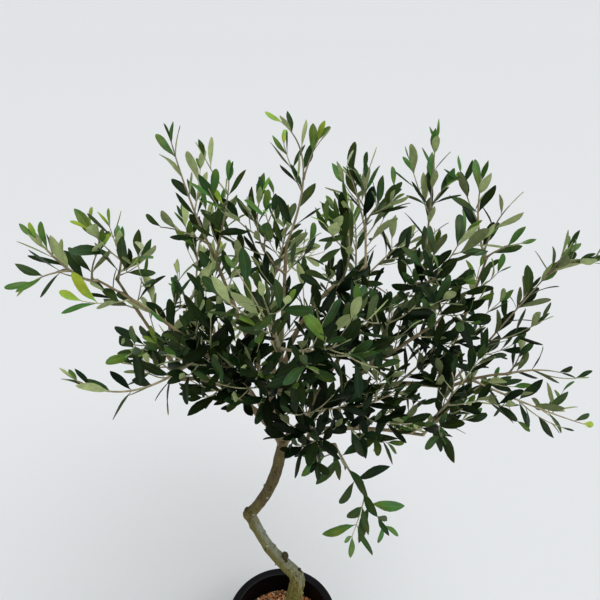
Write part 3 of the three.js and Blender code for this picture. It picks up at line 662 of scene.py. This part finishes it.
class Route:
    """A path through the air, measured by shares of its own length."""

    def __init__(self, curve):
        self.curve = curve
        self.times = np.linspace(0.0, 1.0, ROUTE_STEPS + 1)
        steps = np.linalg.norm(np.diff(curve(self.times), axis=0), axis=1)
        self.lengths = np.concatenate(([0.0], np.cumsum(steps)))
        self.length = self.lengths[-1]

    def time(self, share):
        return np.interp(np.asarray(share) * self.length, self.lengths, self.times)

    def at(self, share):
        return self.curve(self.time(share))

    def heading(self, share):
        time = self.time(share)
        later, sooner = np.minimum(time + NEARBY, 1.0), np.maximum(time - NEARBY, 0.0)
        return unit(self.curve(later) - self.curve(sooner))


def bend(time, foot, control, tip):
    """Places on the curve that leaves foot towards a control place and ends at tip."""
    return (1 - time) ** 2 * foot + 2 * time * (1 - time) * control + time**2 * tip


def curve_through(foot, through, tip):
    """A route from foot to tip that passes through a third place half way."""
    control = 2 * through - foot / 2 - tip / 2
    return Route(lambda time: bend(np.asarray(time)[..., None], foot, control, tip))


def trunk_curve():
    """The smooth route through the trunk's bends."""
    bends = np.array([spot for spot, _ in TRUNK_BENDS], dtype=float)
    ends = np.vstack((2 * bends[0] - bends[1], bends, 2 * bends[-1] - bends[-2]))

    def curve(time):
        scaled = np.asarray(time) * (len(bends) - 1)
        index = np.minimum(np.floor(scaled).astype(int), len(bends) - 2)
        t = (scaled - index)[..., None]
        before, start, end, after = (ends[index + k] for k in range(4))
        leave = (end - before) / 2
        arrive = (after - start) / 2
        cubic = 2 * start - 2 * end + leave + arrive
        square = -3 * start + 3 * end - 2 * leave - arrive
        return cubic * t**3 + square * t**2 + leave * t + start

    return Route(curve)


TRUNK = trunk_curve()
BEND_SHARES = np.interp(np.linspace(0, 1, len(TRUNK_BENDS)), TRUNK.times, TRUNK.lengths) / TRUNK.length
BEND_RADII = np.array([radius for _, radius in TRUNK_BENDS], dtype=float)


def plain_trunk_radius(share):
    """The trunk's radius without its knots and root flare."""
    return np.interp(share, BEND_SHARES, BEND_RADII)


def square_to(axis):
    """Two directions square to an axis."""
    reference = UP if abs(axis[2]) < 0.95 else np.array([1.0, 0.0, 0.0])
    level = unit(np.cross(axis, reference))
    return level, unit(np.cross(axis, level))


def leaning(along, lean, turn):
    """A direction that leans away from an axis by one angle, turned round it by another."""
    level, across = square_to(along)
    lean, turn = math.radians(lean), math.radians(turn)
    way = along * math.cos(lean) + level * math.sin(lean) * math.cos(turn)
    return way + across * math.sin(lean) * math.sin(turn)


def taper(span):
    """A radius that runs evenly from foot to tip."""
    return lambda share: between(span, share)


def balls_along(route, radius_at, start=0.0):
    """Balls a few millimetres apart along a route, each (x, y, z, radius)."""
    count = max(2, math.ceil(route.length * (1 - start) / BALL_GAP))
    shares = start + (1 - start) * np.arange(count + 1) / count
    return np.column_stack((route.at(shares), radius_at(shares)))


def is_free(balls, owner, placed):
    """Whether balls keep clear of all that stands already and belongs to others."""
    for other, taken in placed:
        apart = np.linalg.norm(balls[:, None, :3] - taken[None, :, :3], axis=-1)
        if other != owner and (apart < balls[:, None, 3] + taken[None, :, 3] + CLEAR).any():
            return False
    return True


def side_twigs(stem, count, roll, length=TWIG_LENGTH, first=FIRST_TWIG, turned=0.0):
    """Side twigs of a stem, by the source's rule: in turn on four sides, leaning out, then rising."""
    twigs = []
    for i in range(count):
        share = first + (LAST_TWIG - first) * (i + roll()) / count
        foot = stem.at(share)
        turn = turned + 90 * i + TWIG_TURN_SPREAD * roll()
        lean = TWIG_LEAN + swing(roll, TWIG_LEAN_SPREAD)
        way = unit(leaning(stem.heading(share), lean, turn) + UP * TWIG_RISE)
        reach = length * between(TWIG_SPREAD, roll()) * (1 - TWIG_TAPER * share)
        tip = foot + way * reach + UP * reach * TWIG_TIP_RISE
        twigs.append(curve_through(foot, foot + way * reach / 2, tip))
    return twigs


# One leafy limb of the crown: its route, radius at foot and tip, the spray or bough that it
# belongs to, and its bark (0 grey, 1 green).
Shoot = namedtuple("Shoot", "route radius owner finish")


def grow_boughs():
    """The routes of all boughs, by name."""
    routes = {"trunk": TRUNK}
    for name, (on, at, through, to, _) in BOUGHS.items():
        routes[name] = curve_through(routes[on].at(at), place(through), place(to))
    return routes


def grow_stems(limbs, placed):
    """Each spray's stem and its arms, as in the source."""
    stems = {}
    for name, (on, at, through, to, _, arms) in SPRAYS.items():
        stem = curve_through(limbs[on].at(at), place(through), place(to))
        stems[name] = [stem]
        for share, spot in arms:
            start, end = stem.at(share), place(spot)
            middle = (start + end) / 2 + stem.heading(share) * np.linalg.norm(end - start) * ARM_BOW
            stems[name].append(curve_through(start, middle, end))
        placed.extend((name, balls_along(route, taper(STEM_RADIUS))) for route in stems[name])
    return stems


def grow_crown():
    """All shoots: stems, arms and twigs as in the source, then finer shoots within their reach."""
    limbs = grow_boughs()
    placed = [("trunk", balls_along(TRUNK, plain_trunk_radius))]
    for name, (_, _, _, _, radius) in BOUGHS.items():
        placed.append((name, balls_along(limbs[name], taper(radius))))
    stems = grow_stems(limbs, placed)
    thin = taper(TWIG_RADIUS)
    shoots = []
    for index, (name, (_, _, _, _, count, _)) in enumerate(SPRAYS.items()):
        stem, *arms = stems[name]
        twigs = side_twigs(stem, count, dice(TWIG_SEED + index))
        twigs = [twig for twig in twigs if is_free(balls_along(twig, thin, TWIG_ROOT), name, placed)]
        placed += [(name, balls_along(twig, thin)) for twig in twigs]
        roll = dice(FINER_SEED + index)
        finer = side_twigs(stem, FINER_ON_STEM[count], roll, FINER_LENGTH, first=0.1, turned=45)
        for arm in arms:
            finer += side_twigs(arm, count - 1, roll, FINER_LENGTH * SHORTER, first=0.15, turned=20)
        for twig in twigs:
            finer += side_twigs(twig, int(count > 2), roll, FINER_LENGTH * SHORTER, first=0.2, turned=70)
        kinds = (([stem], REAL_STEM, 0), (arms, REAL_ARM, 0), (twigs, REAL_TWIG, 1), (finer, REAL_SHOOT, 1))
        for routes, radius, finish in kinds:
            shoots += [Shoot(route, radius, name, finish) for route in routes]
    for index, name in enumerate(BOUGHS):
        count = int(limbs[name].length * BOUGH_SHOOT_SHARE / BOUGH_SHOOT_GAP)
        roll = dice(BOUGH_SHOOT_SEED + index)
        finer = side_twigs(limbs[name], count, roll, FINER_LENGTH * LONGER, first=0.4)
        shoots += [Shoot(route, BOUGH_SHOOT, name, 1) for route in finer]
    return shoots


def sector_of(name):
    """The part of the crown that a spray or bough belongs to."""
    word = name.split("_")[0]
    return SECTORS.get(word, word)


def crown_sectors():
    """Each part of the crown: its name, its shoots and the masses of foliage they stand for."""
    shoots = grow_crown()
    for sector in dict.fromkeys(sector_of(name) for name in SPRAYS):
        nodes = [f"spray_{name}" for name in SPRAYS if sector_of(name) == sector]
        yield sector, [shoot for shoot in shoots if sector_of(shoot.owner) == sector], nodes


# One leaf: its root, the way it points and faces, its size in millimetres, its age and painted
# shade, and four shares from 0 to 1 that its shape is made from.
Leaf = namedtuple("Leaf", "root way face length width age shape")


def leaf_outline(share, widest):
    """Half width of an olive leaf along its length, as a share of its greatest half width."""
    tip = FOOT_FULLNESS * (1 - widest) / widest
    grown = np.maximum(share, 0) ** FOOT_FULLNESS * np.maximum(1 - share, 0) ** tip
    return grown / (widest**FOOT_FULLNESS * (1 - widest) ** tip)


def dress_leaves(shoots, sizes):
    """Every leaf of some shoots, in opposite pairs."""
    leaves = []
    gap = sizes.pair_gap / MM
    spray_ages = {}
    for index, shoot in enumerate(shoots):
        roll = dice(LEAF_SEED + index)
        if shoot.owner not in spray_ages:
            spray_ages[shoot.owner] = swing(roll, SPRAY_AGE_SPREAD)
        hanging = shoot.owner == HANGING
        rise = 0.0 if hanging else LEAF_RISE
        leafy = LEAFY_END - BARE_SHARE
        count = max(2, round(shoot.route.length * leafy / gap))
        start = 180 * roll()
        for i in range(count + 1):
            share = LEAFY_END if i == count else BARE_SHARE + leafy * (i + FIRST_PAIR) / count
            along = shoot.route.heading(share)
            left = (count - i) / max(count, SHORT_SHOOT)
            root = shoot.route.at(share)
            depth = np.linalg.norm((root - CROWN_HEART) / CROWN_REACH)
            low = float(np.clip((SHADED_BELOW - root[2]) / SHADED_DROP, 0, 1))
            for side in (0, 180):
                lean = between((TIP_LEAF_LEAN, LEAF_LEAN), min(1, left * LEAN_PACE))
                lean += swing(roll, LEAF_LEAN_SPREAD) + (HANGING_LEAN if hanging else 0)
                turn = start + 90 * i + side + swing(roll, LEAF_TURN_SPREAD)
                way = unit(leaning(along, lean, turn) + UP * rise * min(1, between(INNER_RISE, depth)))
                face = HANGING_FACE if hanging else along + UP * LEAF_LIFT
                face = face + LEAF_TURN * np.sign(face @ LEAF_TURN)
                face = unit(face - way * (face @ way))
                tilt = math.radians(swing(roll, LEAF_TILT_SPREAD))
                face = face * math.cos(tilt) + np.cross(way, face) * math.sin(tilt)
                grown = between((TIP_LEAF, 1), min(1, left * SIZE_PACE)) * between(LEAF_SPREAD, roll())
                grown *= HANGING_SIZE if hanging else 1 - LOW_LEAF_LOSS * low
                # Inside and under the crown the leaves take older, darker colours: painted shade.
                age = TIP_AGE + FOOT_AGE * min(1, left * AGE_PACE) + INNER_SHADE_AGE * max(0, 1 - depth)
                age += LOW_SHADE_AGE * low + spray_ages[shoot.owner] + swing(roll, AGE_SPREAD)
                age += HANGING_AGE if hanging else 0
                youngest = 1 if left > YOUNG_SHARE or hanging else 0
                age = int(np.clip(round(age), youngest, len(LEAF_AGES) - 1))
                length = sizes.leaf_length / MM * grown
                width = sizes.leaf_width / MM * grown**WIDTH_POWER
                shape = (roll(), roll(), roll(), roll())
                if roll() >= THINNED.get(shoot.owner, LOST_LEAVES):
                    leaves.append(Leaf(root, way, face, length, width, age, shape))
    return leaves


def leaf_faces():
    """Quads, end caps and each quad's coat (0 cuticle, 1 felt, 2 midrib), for one leaf."""
    rows, columns = len(LEAF_ROWS), len(LEAF_COLUMNS)
    quads, coats = [], []
    for i, j in product(range(rows - 1), range(columns)):
        k = (j + 1) % columns
        quads.append((i * columns + j, (i + 1) * columns + j, (i + 1) * columns + k, i * columns + k))
        coats.append(1 if j >= UNDER_COLUMN else 2 if j == MIDRIB_COLUMN else 0)
    foot = tuple(range(columns))
    tip = tuple((rows - 1) * columns + j for j in reversed(range(columns)))
    return np.array(quads), np.array(coats), np.array([foot, tip])


def leaf_points(leaf, thickness):
    """The points of a leaf: rows x columns x 3."""
    first, second, third, fourth = leaf.shape
    rows = np.array(LEAF_ROWS)[:, None]
    across, above = np.array(LEAF_COLUMNS, dtype=float).T
    blade = leaf_outline(rows, between(WIDEST, first)) * leaf.width * between(BROADNESS, fourth) / 2
    half = np.maximum(blade, np.where(rows < STALK_END, STALK_RADIUS, 0.0))
    half[-1] = TIP_RADIUS
    twist = between(TWIST, second) * np.maximum(rows, 0)
    waver = WAVER * leaf.length * np.sin(2 * np.pi * (rows * WAVER_TURNS + fourth))
    sideways = np.cross(leaf.way, leaf.face)
    axis = leaf.root + leaf.way * leaf.length * (rows - LEAF_ROWS[0])
    axis = axis - leaf.face * between(BOW, first) * leaf.length * np.maximum(rows, 0) ** 2
    axis = axis + sideways * waver * np.clip(rows * 3, 0, 1)
    side = sideways * np.cos(twist) + leaf.face * np.sin(twist)
    up = leaf.face * np.cos(twist) - sideways * np.sin(twist)
    rib = np.where(np.abs(across) < RIB_HALF, np.where(above > 0, RIB_ABOVE, RIB_BELOW), 1.0)
    lift = half * (np.abs(across) * between(FOLD, third) - EDGE_DROOP * across**4)
    lift = lift + above * thickness / 2 * rib
    return axis[:, None] + side[:, None] * (across * half)[..., None] + up[:, None] * lift[..., None]


def add_object(name, data):
    """Puts a mesh, light or camera into the scene."""
    item = bpy.data.objects.new(name, data)
    bpy.context.scene.collection.objects.link(item)
    return item


class Surface:
    """Gathers points, faces and finishes before they become one piece."""

    def __init__(self):
        self.points, self.faces, self.finishes, self.count = [], [], [], 0

    def add(self, points, *groups):
        """Adds points, and groups of faces, each with one finish or a finish for each face."""
        for faces, finish in groups:
            self.faces += (np.asarray(faces) + self.count).tolist()
            self.finishes += np.broadcast_to(finish, len(faces)).tolist()
        self.points.append(points.reshape(-1, 3))
        self.count += len(self.points[-1])

    def mesh(self, name, materials=(), sharp=None):
        """The gathered faces as one mesh, in metres."""
        mesh = bpy.data.meshes.new(name)
        mesh.from_pydata(np.concatenate(self.points) * MM, [], self.faces)
        mesh.polygons.foreach_set("material_index", self.finishes)
        mesh.validate()
        mesh.shade_smooth()
        if sharp:
            mesh.set_sharp_from_angle(angle=math.radians(sharp))
        for material in materials:
            mesh.materials.append(material)
        return mesh

    def piece(self, name, materials, slot, nodes, sharp=None):
        """Makes the mesh object, rides it on the body and hides the model's nodes that it stands in for."""
        piece = add_object(name, self.mesh(name, materials, sharp))
        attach(piece, BODY)
        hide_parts(*nodes)
        return piece


def close_rings(surface, points, foot, tip, finish):
    """Adds a tube from its rings of points, rings x sides x 3, closed to a foot and a tip point."""
    rings, sides = points.shape[:2]
    index = np.arange(rings * sides).reshape(rings, sides)
    after = np.roll(index, -1, axis=1)
    quads = np.stack((index[:-1], after[:-1], after[1:], index[1:]), axis=-1).reshape(-1, 4)
    count = rings * sides
    caps = [(count, after[0, j], index[0, j]) for j in range(sides)]
    caps += [(count + 1, index[-1, j], after[-1, j]) for j in range(sides)]
    surface.add(np.vstack((points.reshape(-1, 3), foot, tip)), (quads, finish), (caps, finish))


def tube(surface, route, radius_at, sides, rings, finish=0, start=0.0, dome=0.6):
    """A limb with closed ends; radius_at takes shares and outward directions."""
    shares = np.linspace(start, 1.0, rings + 1)
    centres, ways = route.at(shares), route.heading(shares)
    side = square_to(ways[0])[0]
    carried = []
    for way in ways:
        side = unit(side - way * (side @ way))
        carried.append(side)
    carried = np.array(carried)
    other = np.cross(ways, carried)
    around = (2 * np.pi * np.arange(sides) / sides)[None, :, None]
    outward = carried[:, None] * np.cos(around) + other[:, None] * np.sin(around)
    radii = np.broadcast_to(radius_at(shares[:, None], outward), outward.shape[:2])
    foot = centres[0] - ways[0] * radii[0].mean() * dome
    tip = centres[-1] + ways[-1] * radii[-1].mean() * dome
    close_rings(surface, centres[:, None] + outward * radii[..., None], foot, tip, finish)


def lathe(surface, profile, sides):
    """A profile of (radius, height) turned round the pot's axis; it starts and ends on the axis."""
    around = 2 * np.pi * np.arange(sides) / sides
    rings = [[(r * np.cos(a), r * np.sin(a), z) for a in around] for r, z in profile[1:-1]]
    close_rings(surface, np.array(rings), (0, 0, profile[0][1]), (0, 0, profile[-1][1]), 0)


def rounded(corners, roll, steps=4):
    """A profile whose inner corners are rounded; each corner is (radius, height, rounding)."""
    spots = np.array([corner[:2] for corner in corners], dtype=float)
    profile = []
    for i, (here, (_, _, amount)) in enumerate(zip(spots, corners)):
        if amount == 0:
            profile.append(tuple(here))
            continue
        into, out = here - spots[i - 1], spots[i + 1] - here
        cut = min(amount * roll, np.linalg.norm(into) * 0.45, np.linalg.norm(out) * 0.45)
        start, end = here - unit(into) * cut, here + unit(out) * cut
        profile += [tuple(bend(time, start, here, end)) for time in np.arange(steps + 1) / steps]
    return profile


class BuildPot(bpy.types.Operator):
    """Turns the nursery pot with its folded rim and bores its drain holes"""

    bl_idname = "olive_tree.pot"
    bl_label = "Pot"

    def execute(self, context):
        settings = context.scene.olive_tree
        rim = POT_BOX[1][0] / MM + RIM_OUT
        top = POT_BOX[1][2] / MM
        wall_top = top - RIM_BAND
        lip = POT_NECK - RIM_IN
        corners = [
            (0, 3.5, 0), (POT_FOOT - 22, 3.5, 0), (POT_FOOT - 18, 0, 1), (POT_FOOT, 0, 1.2),
            (POT_FOOT + 1, 12, 0.6), (POT_NECK - 2.5, wall_top - 20, 0.8), (POT_NECK, wall_top - 12, 0.8),
            (POT_NECK, wall_top, 0.5), (rim - 2.5, wall_top, 1), (rim - 1.2, wall_top + 5, 0.8),
            (rim - 0.4, top - 5, 1), (rim - 1.2, top, 1.2), (lip, top - 0.4, 1.2), (lip - 0.5, top - 9, 0.8),
            (lip - 0.7, wall_top - 10, 1.5), (POT_FOOT - POT_WALL, 5, 1), (0, 6.5, 0),
        ]
        surface = Surface()
        lathe(surface, rounded(corners, settings.sizes.rim_roll / MM), POT_SIDES)
        black = settings.colours.pot
        finishes = [
            pot_plastic("black_moulded_polypropylene", black, 0.3),
            # Painted shade: the inside of the wall is half as dark as the outside.
            pot_plastic("dusty_polypropylene_inside", shade(black, 0.5), 0.06),
        ]
        piece = surface.piece("nursery_pot", finishes, "pot", ["pot"], sharp=50)
        drill = Surface()
        for i in range(DRAIN_HOLES):
            centre = DRAIN_CIRCLE * compass(360 / DRAIN_HOLES * i)
            up = curve_through(centre - UP * 20, centre, centre + UP * 30)
            tube(drill, up, lambda share, outward: DRAIN_RADIUS, 24, 2, dome=0)
        drill_object = add_object("drain_drill", drill.mesh("drain_drill"))
        modifier = piece.modifiers.new("drain", "BOOLEAN")
        modifier.object = drill_object
        modifier.solver = "EXACT"
        bored = bpy.data.meshes.new_from_object(piece.evaluated_get(context.evaluated_depsgraph_get()))
        piece.modifiers.clear()
        piece.data = bored
        bpy.data.objects.remove(drill_object)
        # Inside the wall the plastic is painted darker, as painted shade, and has hardly any shine.
        for face in bored.polygons:
            out, height = face.center.xy.length / MM, face.center.z / MM
            wall = np.interp(height, (0, wall_top), (POT_FOOT, POT_NECK))
            if 10 < height < top - 3 and out < wall - POT_WALL / 2:
                face.material_index = 1
        return {"FINISHED"}


class BuildGravel(bpy.types.Operator):
    """Lays the potting mix and its cover of crushed fired clay"""

    bl_idname = "olive_tree.gravel"
    bl_label = "Gravel"

    def execute(self, context):
        settings = context.scene.olive_tree
        colours = settings.colours
        stone = settings.sizes.stone / MM
        radius = SOIL_BOX[1][0] / MM + GRAVEL_OUT
        top = SOIL_BOX[1][2] / MM + GRAVEL_UP
        bed = Surface()
        foot = radius - 20
        lathe(bed, [(0, 5), (foot, 5), (radius, top - 7), (radius * 0.6, top - 4.5), (0, top - 4)], 96)
        bed.piece("potting_mix", [peat(colours.soil)], "gravel", ["soil"], sharp=40)
        balls = []
        for level in (1, 2):
            work = bmesh.new()
            bmesh.ops.create_icosphere(work, subdivisions=level, radius=1.0)
            corners = np.array([v.co[:] for v in work.verts])
            balls.append((corners, np.array([[v.index for v in f.verts] for f in work.faces])))
            work.free()
        roll = dice(STONE_SEED)
        step = stone * STONE_STEP
        spots = []
        rows = int(2 * radius / (step * ROW_STEP)) + 2
        for row, column in product(range(rows), range(int(2 * radius / step) + 2)):
            x = -radius + step * (column + 0.5 * (row % 2)) + swing(roll, step * STONE_STRAY)
            y = -radius + step * ROW_STEP * row + swing(roll, step * STONE_STRAY)
            layer = (roll() - STONE_SUNK) * STONE_LAYERS
            width = stone * between(STONE_WIDTH, roll() ** 1.6)
            if math.hypot(x, y) < radius - width * STONE_BULGE:
                spots.append((x, y, layer, width))
        surface = Surface()
        for x, y, layer, width in spots:
            ball, faces = balls[width > stone * FINE_STONE]
            flat = (1.0, between(STONE_DEPTH, roll()), between(STONE_HEIGHT, roll()))
            spin = Vector([roll() - 0.5 for _ in range(3)]).normalized()
            turn = np.array(Matrix.Rotation(math.pi * roll(), 3, spin))
            seat = Vector([roll() * 50 for _ in range(3)])
            bulge = np.array([1 + STONE_BULGE * noise.noise(Vector(p) * 1.25 + seat) for p in ball])
            shaped = (ball * bulge[:, None] * np.array(flat) * width / 2) @ turn.T
            # The cover stands a millimetre higher in the middle.
            crown = 1 - math.hypot(x, y) / radius
            shaped = shaped + np.array([x, y, top - STONE_SEAT + crown + layer])
            shaped[:, 2] = np.maximum(shaped[:, 2], top - STONE_DEEPEST)
            surface.add(shaped, (faces, int(np.searchsorted(STONE_MIX, roll(), side="right"))))
        finishes = [
            stone_finish("fired_clay_red", colours.clay),
            stone_finish("fired_clay_tan", colours.clay_light),
            stone_finish("fired_clay_dark", colours.clay_dark),
            stone_finish("crushed_pumice", colours.pumice),
        ]
        surface.piece("clay_gravel", finishes, "gravel", ["soil"], sharp=35)
        return {"FINISHED"}


def trunk_radius(share, outward, relief):
    """The trunk's radius with its flare, knots and bark relief, round each ring."""
    lobes = np.cos(ROOT_FLARE_LOBES * np.arctan2(outward[..., 1], outward[..., 0]))
    flare = np.maximum(0, 1 - share / ROOT_FLARE_SHARE) * ROOT_FLARE * lobes
    radius = plain_trunk_radius(share) * (1 + flare)
    for where, facing, stands, half in TRUNK_KNOTS:
        along = (share - where) * TRUNK.length / half
        towards = np.maximum(0, outward @ compass(facing))
        radius = radius + stands * np.exp(-along * along) * towards**KNOT_ROUNDNESS
    grain = np.zeros(radius.shape)
    for i, j in np.ndindex(grain.shape):
        x, y, z = outward[i, j]
        height = float(share[i, 0]) * TRUNK.length
        for turns, tilt, wave, begin, weight in BARK_GRAIN:
            seat = Vector((x * turns, y * turns, z * tilt + height / wave + begin))
            grain[i, j] += weight * noise.noise(seat)
    fall = FOOT_GRAIN - FOOT_GRAIN_FALL * np.minimum(1, share / FOOT_GRAIN_SHARE)
    return radius + relief * grain * fall


def stub_radius(share, outward, inside, stands, foot, end):
    """A stub's radius: lumpy, and ringed by a callus where it is wide enough to have been cut."""
    out = np.clip((share * (inside + stands) - inside + 0.6) / (stands + 0.6), 0, 1)
    lumps = 1 + 0.09 * np.sin(5 * outward[..., 0] + 4 * outward[..., 2] + 3 * out)
    lumps = lumps + 0.07 * np.sin(9 * outward[..., 1] - 7 * outward[..., 2] + 11 * out)
    callus = 1 + 0.18 * np.exp(-((out - 0.8) ** 2) / 0.02) * (end > 3)
    return between((foot, end), out) * lumps * callus


class BuildTrunk(bpy.types.Operator):
    """Raises the trunk with its bend, root flare, knots and furrowed bark"""

    bl_idname = "olive_tree.trunk"
    bl_label = "Trunk"

    def execute(self, context):
        settings = context.scene.olive_tree
        surface = Surface()
        radius_at = partial(trunk_radius, relief=settings.sizes.bark_relief / MM)
        tube(surface, TRUNK, radius_at, TRUNK_SIDES, TRUNK_RINGS, start=TRUNK_START, dome=0.45)
        for share, facing, tilt, stands, foot, end, finish in TRUNK_STUBS:
            along = TRUNK.heading(share)
            level = compass(facing)
            way = unit(unit(level - along * (level @ along)) + UP * tilt)
            inside = float(plain_trunk_radius(share))
            base = TRUNK.at(share)
            reach = inside + stands
            route = curve_through(base, base + way * reach / 2, base + way * reach)
            radius_at = partial(stub_radius, inside=inside, stands=stands, foot=foot, end=end)
            # Cut wood is hollowed at its end, a bud or scar is domed.
            dome = -0.25 if finish == 1 else 0.35
            tube(surface, route, radius_at, STUB_SIDES, STUB_RINGS, finish, dome=dome)
        finishes = [
            trunk_bark(settings.colours),
            limb_bark("weathered_cut_wood", shade(settings.colours.bark_high, 0.5), 3),
            limb_bark("pale_corky_scar", shade(settings.colours.bark_grey_and_painted_lit_side, 1.25), 2),
        ]
        surface.piece("trunk_bark", finishes, "bark", ["trunk"], sharp=60)
        return {"FINISHED"}


def collar(share, route, swelling):
    """How much wider a limb is where it leaves the limb that it grows on."""
    return 1 + swelling[0] * np.exp(-share * route.length / swelling[1])


def bough_radius(share, outward, route, plain, index):
    """A bough's radius: a collar where it leaves its limb, then slow ripples."""
    height = share * route.length
    ripple = 0.07 * np.sin(height / 9 + index) + 0.05 * np.sin(height / 3.7 + 2 * index)
    uneven = 0.06 * np.sin(3 * outward[..., 0] + 2 * outward[..., 1] + height / 14)
    return plain(share) * collar(share, route, BOUGH_COLLAR) * (1 + ripple + uneven)


class BuildBoughs(bpy.types.Operator):
    """Grows the boughs from the fork, each with a collar where it leaves its limb"""

    bl_idname = "olive_tree.boughs"
    bl_label = "Boughs"

    def execute(self, context):
        routes = grow_boughs()
        surface = Surface()
        for index, (name, (_, _, _, _, radius)) in enumerate(BOUGHS.items()):
            route = routes[name]
            radius_at = partial(bough_radius, route=route, plain=taper(radius), index=index)
            tube(surface, route, radius_at, BOUGH_SIDES, int(route.length / BOUGH_RING_GAP), dome=0.5)
        finish = limb_bark("smooth_bough_bark", context.scene.olive_tree.colours.bough, 6)
        surface.piece("bough_wood", [finish], "bark", [f"bough_{name}" for name in BOUGHS])
        return {"FINISHED"}


def twig_radius(share, outward, shoot):
    """A twig's radius, swollen at its foot."""
    return taper(shoot.radius)(share) * collar(share, shoot.route, TWIG_COLLAR)


class BuildTwigs(bpy.types.Operator):
    """Grows stems, side twigs and finer shoots by the source's seeded rule"""

    bl_idname = "olive_tree.twigs"
    bl_label = "Twigs"

    def execute(self, context):
        colours = context.scene.olive_tree.colours
        finishes = [
            limb_bark("grey_twig_bark", colours.twig, 5),
            limb_bark("green_shoot_bark", colours.shoot, 4),
        ]
        for sector, shoots, nodes in crown_sectors():
            surface = Surface()
            for shoot in shoots:
                rings = max(4, int(shoot.route.length / TWIG_RING_GAP))
                radius_at = partial(twig_radius, shoot=shoot)
                tube(surface, shoot.route, radius_at, TWIG_SIDES, rings, shoot.finish)
            surface.piece(f"twigs_{sector}", finishes, "bark", nodes)
        return {"FINISHED"}


class BuildLeaves(bpy.types.Operator):
    """Sets leathery leaves in opposite pairs along every shoot"""

    bl_idname = "olive_tree.leaves"
    bl_label = "Leaves"

    def execute(self, context):
        settings = context.scene.olive_tree
        coats = ([], [], [])
        for word, above, below, shine, paler_felt, paler_rib in LEAF_AGES:
            green, felt = getattr(settings.colours, above), getattr(settings.colours, below)
            coats[0].append(leaf_cuticle(f"waxy_{word}_leaf", green, shine))
            coats[1].append(leaf_felt(f"felted_{word}_underside", shade(felt, paler_felt)))
            coats[2].append(leaf_cuticle(f"{word}_midrib", shade(green, paler_rib), shine, 0.08))
        quads, layers, caps = leaf_faces()
        for sector, shoots, nodes in crown_sectors():
            leaves = dress_leaves(shoots, settings.sizes)
            if not leaves:
                raise RuntimeError(f"no leaves grew in {sector}")
            surface = Surface()
            for leaf in leaves:
                points = leaf_points(leaf, settings.sizes.leaf_thickness / MM)
                blade = (quads, layers * len(LEAF_AGES) + leaf.age)
                surface.add(points, blade, (caps, len(LEAF_AGES) + leaf.age))
            surface.piece(f"leaves_{sector}", sum(coats, []), "leaf", nodes, sharp=55)
        return {"FINISHED"}


class SetStage(bpy.types.Operator):
    """Lays the plain pale floor and sets the soft lights and the camera"""

    bl_idname = "olive_tree.stage"
    bl_label = "Stage"

    def execute(self, context):
        scene = context.scene
        mesh = bpy.data.meshes.new("studio_floor")
        # Far behind the tree the floor climbs a little, so that it fills the frame.
        reach, bend, climb = 400.0, 30.0, 6.5
        corners = [(-reach, -reach, 0), (reach, -reach, 0), (reach, bend, 0), (-reach, bend, 0)]
        corners += [(reach, reach, climb), (-reach, reach, climb)]
        mesh.from_pydata(corners, [], [(0, 1, 2, 3), (3, 2, 4, 5)])
        material = start_finish("matt_studio_paint")[0]
        mesh.materials.append(end_finish(material, scene.olive_tree.colours.floor, 0.9))
        floor = add_object("studio_floor", mesh)
        floor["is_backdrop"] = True
        world = bpy.data.worlds.new("soft_studio")
        world.use_nodes = True
        background = world.node_tree.nodes["Background"]
        background.inputs["Color"].default_value = (0.95, 0.975, 1.0, 1.0)
        background.inputs["Strength"].default_value = 0.17
        scene.world = world
        scene.view_settings.view_transform = "Standard"
        # Wide soft lights: where each shines from, strength, width in degrees and colour.
        lights = [
            ("key_skylight", (0.75, -0.55, 2.0), 2.2, 50, (0.98, 0.99, 1.0)),
            ("side_skylight", (2.2, 0.1, 0.9), 0.62, 35, (0.9, 0.96, 1.0)),
            ("fill_bounce", (-1.5, -1.1, 1.3), 0.3, 70, (1.0, 0.97, 0.9)),
        ]
        for name, spot, strength, spread, tint in lights:
            light = bpy.data.lights.new(name, "SUN")
            light.energy = strength
            light.color = tint
            light.angle = math.radians(spread)
            lamp = add_object(name, light)
            lamp.rotation_euler = (-Vector(spot)).to_track_quat("-Z", "Y").to_euler()
        # The camera stands above the crown and looks down, as the pot's rim in the photo shows.
        lens = bpy.data.cameras.new("photo_camera")
        lens.lens = 33.3
        lens.sensor_width = 36.0
        lens.clip_start = 0.01
        camera = add_object("photo_camera", lens)
        camera.location = (0.040, -0.756, 1.421)
        camera.rotation_euler = (math.radians(62), 0, 0)
        scene.camera = camera
        return {"FINISHED"}


STEPS = (BuildPot, BuildGravel, BuildTrunk, BuildBoughs, BuildTwigs, BuildLeaves, SetStage)


class OlivePanel(bpy.types.Panel):
    """Lists the olive tree's sizes, colours and pieces"""

    bl_idname = "VIEW3D_PT_olive_tree"
    bl_label = "Olive tree"
    bl_space_type = "VIEW_3D"
    bl_region_type = "UI"
    bl_category = "Olive tree"

    def draw(self, context):
        settings = context.scene.olive_tree
        for group in (settings.sizes, settings.colours):
            box = self.layout.box()
            for name in group.__annotations__:
                box.prop(group, name)
        for step in STEPS:
            self.layout.operator(step.bl_idname)


CLASSES = (OliveSizes, OliveColours, OliveTree) + STEPS + (OlivePanel,)


def register():
    for item in CLASSES:
        bpy.utils.register_class(item)
    bpy.types.Scene.olive_tree = PointerProperty(type=OliveTree)


def unregister():
    del bpy.types.Scene.olive_tree
    for item in reversed(CLASSES):
        bpy.utils.unregister_class(item)


def main():
    register()
    for step in STEPS:
        group, name = step.bl_idname.split(".")
        getattr(getattr(bpy.ops, group), name)()
    boxes = {"cad": CAD_BOX, "visual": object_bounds()}
    {name: [list(low), list(high)] for name, (low, high) in boxes.items()}


if __name__ == "__main__":
    main()
